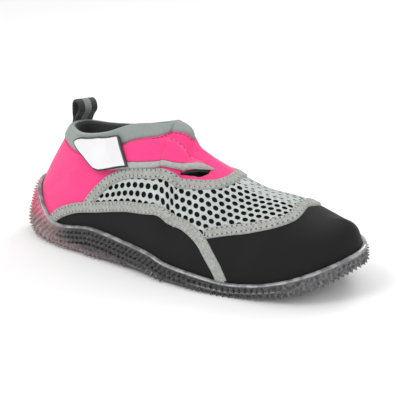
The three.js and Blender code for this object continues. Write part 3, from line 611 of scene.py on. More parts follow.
def mesh_cloth():
    """Yarn of the open mesh, twisted and slightly glossy."""
    material = new_material("mesh_yarn", MESH_GREY, 0.6, Sheen_Weight=0.2, Specular_IOR_Level=0.4)
    nodes = Nodes(material)
    fine = nodes.noise(1500, 3)
    blotch = nodes.noise(180, 2)
    share = nodes.math("MULTIPLY_ADD", fine, 0.6, nodes.math("MULTIPLY", blotch, 0.4))
    nodes.colour(nodes.mix(nodes.range(share, 0.36, 0.6), MESH_SHADE, MESH_GREY))
    nodes.bump(nodes.math("MULTIPLY_ADD", fine, 0.8, knit_height(nodes, 0.8 * MM)), 0.2 * MM, 0.7)
    return material


mesh_yarn = mesh_cloth()
STITCH_PITCH = 3.1 * MM
FINE_STITCH_PITCH = 2.6 * MM
STITCH_INSET = 1.5 * MM


def tape_cloth():
    """Knitted binding: mottled, with a row of needle holes along each edge."""
    material = new_material("tape_knit", TAPE_GREY, 0.8, Sheen_Weight=0.2, Specular_IOR_Level=0.3)
    nodes = Nodes(material)
    u, v, _ = nodes.weave()
    fine = nodes.noise(1100, 3)
    blotch = nodes.noise(420, 2)
    share = nodes.math("MULTIPLY_ADD", fine, 0.5, nodes.math("MULTIPLY", blotch, 0.5))
    cloth = nodes.mix(nodes.range(share, 0.38, 0.62), TAPE_SHADE, TAPE_GREY)
    phase = nodes.math("FRACT", nodes.math("DIVIDE", u, STITCH_PITCH))
    along = nodes.math("MULTIPLY", nodes.math("SUBTRACT", phase, 0.5), STITCH_PITCH)
    row = TAPE_WIDTH / 2 - STITCH_INSET
    aside = nodes.math("SUBTRACT", nodes.math("ABSOLUTE", v), row)
    reach = nodes.math("SQRT", nodes.math("ADD", nodes.math("MULTIPLY", along, along),
                                          nodes.math("MULTIPLY", aside, aside)))
    hole = nodes.range(reach, 0.35 * MM, 0.75 * MM, 1.0, 0.0)
    nodes.colour(nodes.mix(hole, cloth, (0.10, 0.10, 0.095)))
    height = nodes.math("SUBTRACT", nodes.math("MULTIPLY_ADD", fine, 0.5, knit_height(nodes, 0.9 * MM)),
                        nodes.math("MULTIPLY", hole, 2.0))
    nodes.bump(height, 0.25 * MM, 0.8)
    return material


tape_knit = tape_cloth()


def plain_cloth(name, colour, shade, scale=700):
    material = new_material(name, colour, 0.75, Sheen_Weight=0.2, Specular_IOR_Level=0.3)
    nodes = Nodes(material)
    fine = nodes.noise(scale, 3)
    nodes.colour(nodes.mix(nodes.range(fine, 0.35, 0.65), shade, colour))
    nodes.bump(nodes.math("MULTIPLY_ADD", fine, 0.6, knit_height(nodes, 0.7 * MM)), 0.15 * MM, 0.6)
    return material


binding_cloth = plain_cloth("binding_cloth", (0.40, 0.42, 0.40), (0.33, 0.35, 0.33))
thread = plain_cloth("thread", (0.52, 0.53, 0.49), (0.40, 0.41, 0.38), 2000)
# dark pink: thread of the strap's stitches, and the painted shadow under the collar's seam
dark_thread_and_seam_shadow = plain_cloth("dark_thread_and_seam_shadow", (0.42, 0.03, 0.12), (0.34, 0.02, 0.09), 2000)


TAB_BORDER = 1.1 * MM
TAB_WHITE = (0.76, 0.755, 0.765)
TAB_WHITE_SHADE = (0.71, 0.70, 0.715)
TAB_DARK = (0.030, 0.030, 0.033)


def tab_material():
    """Smooth white moulding with a dark border, by the weave's distance from the edge."""
    material = new_material("tab_rubber", TAB_WHITE, 0.42, Coat_Weight=0.15, Coat_Roughness=0.3)
    nodes = Nodes(material)
    from_edge, _, _ = nodes.weave()
    soft = nodes.noise(60, 2)
    face = nodes.mix(nodes.range(soft, 0.35, 0.65), TAB_WHITE_SHADE, TAB_WHITE)
    inside = nodes.range(from_edge, TAB_BORDER - 0.1 * MM, TAB_BORDER + 0.1 * MM)
    nodes.colour(nodes.mix(inside, TAB_DARK, face))
    nodes.bump(nodes.noise(1600, 2), 0.05 * MM, 0.4)
    return material


tab_rubber = tab_material()

STRIPE_HALF = 2.4 * MM


def webbing_cloth():
    """Woven webbing with cross ribs, black with a grey stripe down its middle."""
    material = new_material("webbing", (0.02, 0.02, 0.02), 0.7, Sheen_Weight=0.15)
    nodes = Nodes(material)
    u, v, _ = nodes.weave()
    stripe = nodes.range(nodes.math("ABSOLUTE", v), STRIPE_HALF - 0.2 * MM, STRIPE_HALF + 0.2 * MM, 1.0, 0.0)
    fine = nodes.noise(1200, 2)
    black = nodes.mix(fine, (0.008, 0.008, 0.009), (0.022, 0.022, 0.023))
    grey = nodes.mix(fine, (0.13, 0.14, 0.135), (0.24, 0.25, 0.245))
    nodes.colour(nodes.mix(stripe, black, grey))
    ribs = nodes.math("SINE", nodes.math("MULTIPLY", u, 2 * math.pi / (1.1 * MM)))
    cords = nodes.math("SINE", nodes.math("MULTIPLY", v, 2 * math.pi / (0.9 * MM)))
    nodes.bump(nodes.math("MULTIPLY_ADD", ribs, 0.5, nodes.math("MULTIPLY", cords, 0.35)), 0.25 * MM, 0.8)
    return material


webbing = webbing_cloth()

HEEL_TINT_END = -62 * MM
HEEL_TINT_START = -92 * MM


def moulded_rubber():
    """See-through moulding, smoky grey, which takes the pink of the heel behind it."""
    material = new_material("moulded_rubber", (0.10, 0.10, 0.105), 0.34, Coat_Weight=0.3, Coat_Roughness=0.15,
                            Transmission_Weight=0.25, IOR=1.42)
    nodes = Nodes(material)
    x, _, z = nodes.axes(nodes.place())
    wave = nodes.noise(70, 2)
    speck = nodes.noise(520, 3, roughness=0.7)
    smoke = nodes.mix(nodes.range(speck, 0.35, 0.7), (0.018, 0.018, 0.020), (0.090, 0.090, 0.094))
    lighter = nodes.mix(nodes.range(speck, 0.30, 0.66), (0.07, 0.07, 0.074), (0.34, 0.34, 0.35))
    toe = nodes.range(x, 60 * MM, 118 * MM, 0.0, 0.6)
    body = nodes.mix(toe, smoke, lighter)
    pink = nodes.mix(nodes.range(wave, 0.3, 0.7), (0.62, 0.12, 0.20), (0.80, 0.24, 0.34))
    brown = nodes.mix(nodes.range(speck, 0.3, 0.7), (0.25, 0.17, 0.165), (0.50, 0.38, 0.37))
    waved_x = nodes.math("MULTIPLY_ADD", wave, 10 * MM, x)
    near_heel = nodes.range(waved_x, HEEL_TINT_START, HEEL_TINT_END, 1.0, 0.0)
    high = nodes.range(z, 13 * MM, 22 * MM)
    heel = nodes.mix(high, brown, pink)
    rear = nodes.range(x, -70 * MM, 0.0, 1.0, 0.0)
    low = nodes.range(z, 3 * MM, 9 * MM, 0.7, 0.0)
    low_rear = nodes.math("MULTIPLY", rear, low)
    base = nodes.mix(low_rear, body, brown)
    nodes.colour(nodes.mix(near_heel, base, heel))
    nodes.bump(nodes.math("ADD", wave, nodes.math("MULTIPLY", speck, 0.4)), 0.3 * MM, 0.35)
    return material


moulded = moulded_rubber()


def glossy_rim():
    """The bead along the top of the cup, brighter and smoother than its side."""
    material = new_material("rim_gloss", (0.33, 0.33, 0.34), 0.12, Coat_Weight=0.8, Coat_Roughness=0.05,
                            Transmission_Weight=0.3, IOR=1.42)
    nodes = Nodes(material)
    share = nodes.range(nodes.noise(160, 2), 0.4, 0.6)
    nodes.colour(nodes.mix(share, (0.20, 0.20, 0.21), (0.42, 0.42, 0.43)))
    nodes.bump(nodes.noise(300, 2), 0.15 * MM, 0.3)
    return material


rim_gloss = glossy_rim()


# Paths of the tapes, each row a place on a tape's middle: station and rise
SIDE_PATH = [[1.87, 0.11], [2.05, 0.19], [2.27, 0.256], [2.52, 0.305], [2.82, 0.332], [3.15, 0.347],
             [3.83, 0.348], [4.53, 0.352], [5.20, 0.37], [5.87, 0.39], [6.50, 0.392], [6.95, 0.372],
             [7.30, 0.32], [7.57, 0.23], [7.82, 0.12], [7.96, 0.02]]
SIDE_FALL = SIDE_PATH[11:]  # where the tape runs down to the sole in front
INSTEP_PATH = [[2.78, 0.36], [2.95, 0.455], [3.28, 0.545], [3.70, 0.572], [4.30, 0.576], [4.88, 0.578],
               [5.45, 0.60], [6.02, 0.645], [6.50, 0.68], [6.90, 0.718], [7.20, 0.775], [7.40, 0.86],
               [7.48, 0.94], [7.49, 1.0]]
TOE_PATH = [[7.38, 0.39], [8.0, 0.487], [8.5, 0.545], [8.88, 0.60], [9.12, 0.67], [9.27, 0.75], [9.33, 0.84],
            [9.34, 0.94], [9.345, 1.0]]
PINK_KIND = 0
BLACK_KIND = 1
BACKING_KIND = 2


def rise_on(path, station, before, after):
    places = np.array(path)
    return np.interp(station, places[:, 0], places[:, 1], left=before, right=after)


def panel_kind(station, across):
    """Which panel a place of the upper lies on: pink, black, or the backing under the open mesh."""
    rise = np.where(across <= 1, across, 2 - across)
    under_side = (station > SIDE_PATH[0][0]) & (rise < rise_on(SIDE_PATH, station, 0, 0))
    fall = np.array(SIDE_FALL)[::-1]
    front_leg = station > np.interp(rise, fall[:, 1], fall[:, 0])
    below_toe_tape = rise < rise_on(TOE_PATH, station, TOE_PATH[0][1], 2)
    before_toe_tape = (station > TOE_PATH[0][0] - 0.2) & below_toe_tape
    black = under_side | (before_toe_tape & front_leg)
    above_tape = rise > rise_on(INSTEP_PATH, station, INSTEP_PATH[0][1], 2)
    above_instep = (station < INSTEP_PATH[-1][0]) & above_tape
    heel = station < INSTEP_PATH[0][0]
    pink = (above_instep | heel) & ~black
    return np.where(black, BLACK_KIND, np.where(pink, PINK_KIND, BACKING_KIND))


# The upper
UPPER_COLUMNS_PER_STATION = 16
UPPER_ROWS = 56
LINING_KIND = 3


def upper_patch(side):
    stations = np.linspace(0, LAST, LAST * UPPER_COLUMNS_PER_STATION + 1)
    seams = np.array([seam_rise(s, side) for s in stations])
    share = np.linspace(0, 1, UPPER_ROWS + 1)
    rise = seams[:, None] * share[None, :]
    station = np.repeat(stations[:, None], UPPER_ROWS + 1, 1)
    across = across_of(side, rise)
    sunk = panel_kind(station, across) == BACKING_KIND
    over = np.where(sunk, -MESH_DEPTH, 0.0)
    return {"station": station, "across": across, "over": over, "under": -UPPER_WALL, "flip": side == INNER}


SLIT = columns_of(("station", "low", "high"), [
    [5.95, 0.700, 0.712],
    [6.20, 0.725, 0.765],
    [6.45, 0.742, 0.805],
    [6.72, 0.768, 0.845],
    [6.90, 0.825, 0.875],
])


def band_grid(table, low, high, columns, layers):
    """Places between two named columns of a table, over all its stations."""
    stations = np.linspace(table["station"][0], table["station"][-1], columns)
    lows = smooth_interp(stations, table["station"], table[low])
    highs = smooth_interp(stations, table["station"], table[high])
    share = np.linspace(0, 1, layers + 1)
    across = lows[:, None] + (highs - lows)[:, None] * share[None, :]
    return np.repeat(stations[:, None], layers + 1, 1), across


def smooth_interp(at, places, numbers):
    """Cubic interpolation through a short table, with tangents from its neighbours."""
    at = np.asarray(at, float)
    slope = np.gradient(numbers, places)
    i = np.clip(np.searchsorted(places, at, side="right") - 1, 0, len(places) - 2)
    span = places[i + 1] - places[i]
    t = np.clip((at - places[i]) / span, 0, 1)
    return (numbers[i] * (2 * t**3 - 3 * t**2 + 1) + slope[i] * span * (t**3 - 2 * t**2 + t)
            + numbers[i + 1] * (3 * t**2 - 2 * t**3) + slope[i + 1] * span * (t**3 - t**2))


def make_upper():
    piece = shell("upper_body", [upper_patch(OUTER), upper_patch(INNER)],
                  [pink_foam, black_foam, black_foam, lining_cloth], panel_kind, LINING_KIND)
    station, across = band_grid(SLIT, "low", "high", 30, 6)
    cutter = shell("slit_cutter", [{"station": station, "across": across, "over": 2 * UPPER_WALL,
                                    "under": -2 * UPPER_WALL}], [lining_cloth])
    boolean_cut(piece, cutter)
    return seat(piece, "stretch_upper", "upper")


make_upper()


# The open mesh: a sheet of oval holes in staggered rows, over a dark backing
HOLE_SIDES = 12
MESH_SHIFT = MESH_PITCH / 2
MESH_STRETCH = MESH_ROW / (MESH_PITCH * math.sqrt(3) / 2)
MESH_MARGIN = 0.5 * MM / GIRTH  # how far the holes' middles run on under the tapes
MESH_REAR = 2.3  # stations between which the holes are spaced
MESH_FRONT = 9.8
MESH_MIDDLE = 0.55  # the rise at which they are measured


def column_table(side):
    """Length along the shoe at mid height against the station, for even spacing of the holes."""
    stations = np.linspace(MESH_REAR, MESH_FRONT, 76)
    points = skin(stations, across_of(side, np.full(len(stations), MESH_MIDDLE)))
    length = np.concatenate([[0], np.cumsum(np.linalg.norm(np.diff(points, axis=0), axis=1))])
    return stations, length


def mesh_here(station, rise):
    """Whether a hole of the open mesh belongs at a place."""
    if station < INSTEP_PATH[0][0] or station > TOE_PATH[-1][0] + 0.02:
        return False
    if rise < float(rise_on(SIDE_PATH, station, 1, 0)) - MESH_MARGIN:
        return False
    instep = float(rise_on(INSTEP_PATH, station, INSTEP_PATH[0][1], 2))
    if station < INSTEP_PATH[-1][0] and rise > instep + MESH_MARGIN:
        return False
    toe = float(rise_on(TOE_PATH, station, TOE_PATH[0][1], 2))
    return not (station > TOE_PATH[0][0] and rise < toe - MESH_MARGIN)


def mesh_sheet(side):
    """Corners, rims and floors of the holes for one side, as grids of station and rise."""
    stations, length = column_table(side)
    angles = np.linspace(0, 2 * math.pi, HOLE_SIDES, endpoint=False)
    hexagon = MESH_PITCH / 2 / np.maximum(np.cos((angles + math.pi / 6) % (math.pi / 3) - math.pi / 6), 0.5)
    rings = [
        (hexagon, MESH_STRETCH, -0.05 * MM),
        (np.full(HOLE_SIDES, MESH_HOLE * 1.15), MESH_HOLE_SHARE * 1.06, 0.28 * MM),
        (np.full(HOLE_SIDES, MESH_HOLE), MESH_HOLE_SHARE, 0.12 * MM),
        (np.full(HOLE_SIDES, MESH_HOLE * 0.96), MESH_HOLE_SHARE, -0.9 * MM),
    ]
    spots = []
    rows = int(GIRTH / MESH_ROW)
    for row in range(int(0.25 * rows), rows + 2):
        v = row * MESH_ROW
        for u in np.arange(MESH_SHIFT * (row % 2), length[-1], MESH_PITCH):
            if mesh_here(float(np.interp(u, length, stations)), min(v / GIRTH, 1.0)):
                spots.append((u, v))
    spots = np.array(spots)
    us = []
    vs = []
    heights = []
    for radius, squash, height in rings:
        us.append(spots[:, 0, None] + (radius * np.cos(angles))[None, :])
        vs.append(spots[:, 1, None] + (radius * np.sin(angles) * squash)[None, :])
        heights.append(np.full((len(spots), HOLE_SIDES), height))
    u = np.stack(us, 1)
    v = np.stack(vs, 1)
    station = np.interp(u, length, stations)
    rise = v / GIRTH
    return station, rise, np.stack(heights, 1), u, v


def make_mesh_piece():
    all_points = []
    all_faces = []
    all_uv = []
    all_kinds = []
    start = 0
    for side in (OUTER, INNER):
        station, rise, height, u, v = mesh_sheet(side)
        over_ridge = rise > 1
        across = across_of(side, np.clip(rise, 0, 1))
        crossing = 2 - rise if side == INNER else rise
        across = np.where(over_ridge, crossing, across)
        points = surface(station, across, height)
        index = np.arange(station.size).reshape(station.shape) + start
        following = np.roll(index, -1, axis=2)
        turn = [0, 1, 2, 3] if side == OUTER else [3, 2, 1, 0]
        for ring in range(station.shape[1] - 1):
            corners = (index[:, ring], following[:, ring], following[:, ring + 1], index[:, ring + 1])
            quads = np.stack(corners, -1)
            all_faces.append(quads.reshape(-1, 4)[:, turn])
            # the holes' inner walls take the black foam: painted shade inside the holes
            wall = ring == station.shape[1] - 2
            all_kinds.append(np.full(quads.shape[0] * quads.shape[1], 1 if wall else 0))
        all_points.append(points.reshape(-1, 3))
        all_uv.append(np.stack([u, v], -1).reshape(-1, 2))
        start += station.size
    points = np.concatenate(all_points)
    faces = np.concatenate(all_faces)
    piece = make_object("open_mesh", points, faces, [mesh_yarn, black_foam], np.concatenate(all_kinds),
                        np.concatenate(all_uv))
    merge_close(piece, 0.12 * MM)
    return seat(piece, "stretch_upper")


def merge_close(piece, distance):
    work = bmesh.new()
    work.from_mesh(piece.data)
    bmesh.ops.remove_doubles(work, verts=work.verts, dist=distance)
    work.to_mesh(piece.data)
    work.free()
    piece.data.update()


make_mesh_piece()


# Tapes sewn over the panels' edges
TAPE_STEP = 1.6 * MM
TAPE_PROFILE = [(-1.0, -0.15), (-0.97, 0.55), (-0.86, 0.86), (-0.62, 0.97), (-0.25, 1.0), (0.25, 1.0),
                (0.62, 0.97), (0.86, 0.86), (0.97, 0.55), (1.0, -0.15)]


def smooth_path(path, step):
    """Even steps along a curve through places on the upper, as station, across and length."""
    places = np.array(path, float)
    knots = np.concatenate([[0], np.cumsum(np.linalg.norm(np.diff(skin(places[:, 0], places[:, 1]), axis=0),
                                                          axis=1))])
    fine = np.linspace(0, knots[-1], 400)
    station = smooth_interp(fine, knots, places[:, 0])
    across = smooth_interp(fine, knots, places[:, 1])
    points = skin(station, across)
    length = np.concatenate([[0], np.cumsum(np.linalg.norm(np.diff(points, axis=0), axis=1))])
    even = np.linspace(0, length[-1], max(int(length[-1] / step), 2) + 1)
    return np.interp(even, length, station), np.interp(even, length, across), even


def sideways_on(station, across, aside):
    """Places at a distance to the side of a path, worked out in the surface's own slopes."""
    along, over = slopes(station, across)
    points = skin(station, across)
    onward = unit(np.gradient(points, axis=0))
    normal = unit(np.cross(along, over))
    side = unit(np.cross(normal, onward))
    aa = (along * along).sum(-1)
    ao = (along * over).sum(-1)
    oo = (over * over).sum(-1)
    sa = (side * along).sum(-1)
    so = (side * over).sum(-1)
    determinant = aa * oo - ao * ao
    step_station = (sa * oo - so * ao) / determinant
    step_across = (so * aa - sa * ao) / determinant
    return (station[:, None] + step_station[:, None] * aside, across[:, None] + step_across[:, None] * aside)


def mirror_path(path):
    return [[s, 2 - c] for s, c in path]


def over_ridge(path):
    return path + mirror_path(path[:-1])[::-1]


def tape_patch(path, width, top, sink=0.2 * MM, profile=TAPE_PROFILE):
    station, across, length = smooth_path(path, TAPE_STEP)
    aside = np.array([p[0] for p in profile]) * width / 2
    heights = np.array([p[1] for p in profile]) * top
    stations, acrosses = sideways_on(station, across, aside[None, :])
    over = np.repeat(heights[None, :], len(station), 0)
    uv = (np.repeat(length[:, None], len(aside), 1), np.repeat(aside[None, :], len(length), 0))
    acrosses = np.clip(acrosses, 0.0, 2.0)
    return {"station": stations, "across": acrosses, "over": over, "under": -sink, "uv": uv, "flip": True}


def stitches(name, path, rows, lift, pitch=STITCH_PITCH, material=thread, slot="tape"):
    """Short raised stitches in rows along a path."""
    ring = 6
    bodies = []
    profile = [(-0.5, 0.35), (-0.25, 1.0), (0.25, 1.0), (0.5, 0.35)]
    radius = 0.32 * MM
    reach = pitch * 0.62
    for aside in rows:
        station, across, _ = smooth_path(path, pitch)
        stations, acrosses = sideways_on(station, across, np.array([[aside]]))
        s = stations[:, 0]
        c = np.clip(acrosses[:, 0], 0, 2)
        middle = surface(s, c, lift)
        up = normals(s, c)
        onward = unit(np.gradient(middle, axis=0))
        side = np.cross(up, onward)
        for i in range(len(s)):
            rings = []
            for at, fat in profile:
                centre = middle[i] + onward[i] * at * reach
                rings.append([centre + (side[i] * math.cos(a) + up[i] * math.sin(a) * 0.7) * radius * fat
                              for a in np.linspace(0, 2 * math.pi, ring, endpoint=False)])
            bodies.append(rings)
    points = np.array(bodies).reshape(-1, 3)
    faces = []
    for body in range(len(bodies)):
        start = body * len(profile) * ring
        for level in range(len(profile) - 1):
            for k in range(ring):
                n = (k + 1) % ring
                a = start + level * ring
                faces.append([a + k, a + n, a + ring + n, a + ring + k])
        faces.append([start + k for k in reversed(range(ring))])
        end = start + (len(profile) - 1) * ring
        faces.append([end + k for k in range(ring)])
    piece = make_object(name, points, faces, [material], None, np.zeros((len(points), 2)))
    return seat(piece, slot)


def make_tape(name, path, *nodes):
    piece = shell(name, [tape_patch(path, TAPE_WIDTH, TAPE_TOP)], [tape_knit])
    row = TAPE_WIDTH / 2 - STITCH_INSET
    stitches(name + "_stitches", path, (-row, row), TAPE_TOP * 0.95)
    return seat(piece, "tape", *nodes)


make_tape("side_binding_outer", SIDE_PATH, "side_tape_outer")
make_tape("side_binding_inner", mirror_path(SIDE_PATH), "side_tape_inner")
make_tape("instep_binding", over_ridge(INSTEP_PATH), "instep_tape")
make_tape("toe_binding", over_ridge(TOE_PATH), "toe_tape")


# The collar band, a soft roll around the opening
COLLAR_COLUMNS_PER_STATION = 14
COLLAR_ROWS = 20
COLLAR_PUFF = 1.1 * MM
COLLAR_TIP = 5.93
ROLL = 2.1 * MM


def collar_patch(side):
    stations = np.linspace(0, COLLAR_TIP, int(COLLAR_TIP * COLLAR_COLUMNS_PER_STATION) + 1)
    lengths = np.array([rib_length(s, side) for s in stations])
    starts = np.array([seam_rise(s, side) for s in stations]) + 0.1 * MM / lengths
    share = 1 - (1 - np.linspace(0, 1, COLLAR_ROWS + 1))**1.6
    rise = starts[:, None] + (1 - starts)[:, None] * share[None, :]
    from_edge = (1 - rise) * lengths[:, None]
    from_seam = (rise - starts[:, None]) * lengths[:, None]
    station = np.repeat(stations[:, None], COLLAR_ROWS + 1, 1)
    open_here = 1 - smoothstep(station, FRONT - 0.15, FRONT + 0.1)
    dip = ROLL - np.sqrt(np.maximum(ROLL**2 - np.maximum(ROLL - from_edge, 0)**2, 0))
    puff = COLLAR_PUFF * np.sqrt(np.clip(np.sin(np.pi * share), 0, 1))[None, :]
    seam_dip = 0.9 * MM * (1 - smoothstep(from_seam, 0, 1.6 * MM))
    over = COLLAR_PROUD + puff - dip * open_here - seam_dip
    under = -UPPER_WALL + dip * open_here
    return {"station": station, "across": across_of(side, rise), "over": over, "under": under,
            "flip": side == INNER}


def make_collar():
    patches = [collar_patch(OUTER), collar_patch(INNER)]
    piece = shell("collar_roll", patches, [collar_foam, lining_cloth], None, 1)
    return seat(piece, "collar_band", "collar")


make_collar()

# how far below the collar's seam the painted shadow dashes run
COLLAR_SHADOW_INSET = 1.4 * MM


def collar_seam_shadow(side, name):
    """Painted shadow under the collar's seam: dark pink stitch-shaped dashes on the foam."""
    path = []
    for station in np.arange(0.2, BAND_END - 0.1, 0.35):
        rise = seam_rise(station, side) - COLLAR_SHADOW_INSET / rib_length(station, side)
        path.append([station, float(across_of(side, rise))])
    stitches(name, path, (0.0,), 0.1 * MM, FINE_STITCH_PITCH, dark_thread_and_seam_shadow, "stretch_upper")


# painted shadow along the collar's seam, as dark pink dashes
collar_seam_shadow(OUTER, "collar_seam_shadow_outer")
collar_seam_shadow(INNER, "collar_seam_shadow_inner")


# The strap, its bound edge and its tab
STRAP_COLUMNS = ("station", "low", "bound", "high", "lift")  # bound: the top of the binding
STRAP_ROWS = [
    [2.66, 0.745, 0.785, 0.790, 0.00],
    [3.05, 0.665, 0.715, 0.795, 0.00],
    [3.50, 0.628, 0.680, 0.800, 0.00],
    [4.00, 0.604, 0.655, 0.812, 0.00],
    [4.60, 0.609, 0.654, 0.825, 0.05],
    [5.10, 0.630, 0.668, 0.835, 0.15],
    [5.55, 0.663, 0.700, 0.845, 0.40],
    [5.95, 0.722, 0.772, 0.860, 0.75],
    [6.35, 0.775, 0.818, 0.872, 1.00],
    [6.65, 0.808, 0.850, 0.876, 0.90],
]
BINDING_TIP = [7.00, 0.885, 0.893, 0.893, 0.00]
STRAP = columns_of(STRAP_COLUMNS, STRAP_ROWS)
BINDING = columns_of(STRAP_COLUMNS, STRAP_ROWS + [BINDING_TIP])


def strap_lift(station):
    share = smooth_interp(station, BINDING["station"], BINDING["lift"])
    return GAP + np.clip(share, 0, 1.2) * STRAP_LIFT


def make_strap():
    station, across = band_grid(STRAP, "bound", "high", 90, 16)
    share = np.linspace(1, 0, across.shape[1])[None, :]
    under = GAP + (strap_lift(station) - GAP) * share
    edge = STRAP_THICK * (0.35 + 0.65 * smoothstep(share, 0.0, 0.25))
    piece = shell("strap_flap", [{"station": station, "across": across, "over": under + edge,
                                  "under": under - 0.1 * MM}], [pink_foam, lining_cloth], None, 1)
    return seat(piece, "stretch_strap", "strap")


BINDING_PROFILE = [(0.0, -0.2), (0.03, 0.45), (0.12, 0.8), (0.3, 0.98), (0.5, 1.05), (0.7, 0.98), (0.88, 0.8),
                   (0.97, 0.45), (1.0, -0.2)]


def make_binding():
    first, last = BINDING["station"][[0, -1]]
    stations = np.linspace(first, last, 120)
    low = smooth_interp(stations, BINDING["station"], BINDING["low"])
    high = smooth_interp(stations, BINDING["station"], BINDING["bound"])
    share = np.array([p[0] for p in BINDING_PROFILE])
    height = np.array([p[1] for p in BINDING_PROFILE])
    across = low[:, None] + (high - low)[:, None] * share[None, :]
    station = np.repeat(stations[:, None], len(share), 1)
    lift = strap_lift(station)
    taper = 0.35 + 0.65 * smoothstep(last - station, 0.0, 0.5)
    over = lift + BINDING_THICK * height[None, :] * taper
    length = (station - first) * LENGTH / LAST
    uv = (length, across * GIRTH)
    patch = {"station": station, "across": across, "over": over, "under": lift - 0.2 * MM, "uv": uv}
    piece = shell("strap_edge", [patch], [binding_cloth])
    return seat(piece, "tape", "strap_binding")


make_strap()
make_binding()
STRAP_SEAM = [[5.15, 0.821], [5.78, 0.840], [6.42, 0.862]]
stitches("strap_stitches", STRAP_SEAM, (0.0,), STRAP_LIFT, FINE_STITCH_PITCH, dark_thread_and_seam_shadow, "stretch_strap")

TAB = columns_of(("across", "rear", "front"), [
    [0.615, 3.92, 3.985],
    [0.630, 3.49, 3.97],
    [0.645, 3.08, 3.95],
    [0.665, 2.90, 3.92],
    [0.710, 2.73, 3.86],
    [0.770, 2.52, 3.78],
    [0.847, 2.16, 3.70],
    [0.887, 2.01, 3.655],
    [0.907, 2.00, 3.60],
    [0.925, 2.04, 3.36],
    [0.945, 2.12, 3.12],
    [0.962, 2.30, 2.90],
])
TAB_GRID = (48, 60)
TAB_RIM_POINTS = 300


def tab_lines(share):
    """Rear and front stations of the tab, at shares of its way from the low edge to the high one."""
    low, high = TAB["across"][[0, -1]]
    across = low + (high - low) * share
    rear = np.interp(across, TAB["across"], TAB["rear"])
    front = np.interp(across, TAB["across"], TAB["front"])
    return across, rear, front


def tab_edges():
    """Places along the tab's four edges, close together."""
    share = np.linspace(0, 1, TAB_RIM_POINTS)
    across, rear, front = tab_lines(share)
    low = rear[0] + (front[0] - rear[0]) * share
    high = rear[-1] + (front[-1] - rear[-1]) * share
    stations = np.concatenate([rear, front, low, high])
    ends = [np.full_like(share, across[0]), np.full_like(share, across[-1])]
    return skin(stations, np.concatenate([across, across] + ends))


def make_tab():
    """A moulded plate: dark rounded border, white face a little sunk."""
    acrosses, rear, front = tab_lines((1 - np.cos(np.linspace(0, np.pi, TAB_GRID[1]))) / 2)
    share = (1 - np.cos(np.linspace(0, np.pi, TAB_GRID[0]))) / 2
    station = rear[None, :] + (front - rear)[None, :] * share[:, None]
    across = np.repeat(acrosses[None, :], TAB_GRID[0], 0)
    places = skin(station, across).reshape(-1, 3)
    rim = tab_edges()
    nearest = [np.linalg.norm(rim - place, axis=1).min() for place in places]
    distance = np.array(nearest).reshape(station.shape)
    sunk = smoothstep(distance, TAB_BORDER * 0.9, TAB_BORDER * 1.3)
    rounding = np.sqrt(np.clip(distance / (0.6 * MM), 0, 1))
    over = TAB_SEAT + TAB_THICK * (0.45 + 0.55 * rounding) - 0.35 * MM * sunk
    piece = shell("strap_tab", [{"station": station, "across": across, "over": over, "under": TAB_SEAT,
                                 "uv": (distance, across * GIRTH)}], [tab_rubber])
    return seat(piece, "tab", "tab")


make_tab()


# The pull loop, on the inner side of the heel
LOOP_STATION = 0.65
LOOP_STEPS = 90
LOOP_PROFILE = [(-1.0, 0.0), (-0.97, 0.7), (-0.9, 1.0), (0.0, 1.0), (0.9, 1.0), (0.97, 0.7), (1.0, 0.0),
                (0.97, -0.7), (0.9, -1.0), (0.0, -1.0), (-0.9, -1.0), (-0.97, -0.7)]


def catmull(points, steps):
    """Even steps along a smooth curve through points."""
    points = np.array(points, float)
    knots = np.concatenate([[0], np.cumsum(np.sqrt(np.linalg.norm(np.diff(points, axis=0), axis=1)))])
    fine = np.linspace(0, knots[-1], steps * 6)
    curve = np.stack([smooth_interp(fine, knots, points[:, k]) for k in range(3)], -1)
    length = np.concatenate([[0], np.cumsum(np.linalg.norm(np.diff(curve, axis=0), axis=1))])
    even = np.linspace(0, length[-1], steps + 1)
    return np.stack([np.interp(even, length, curve[:, k]) for k in range(3)], -1), even


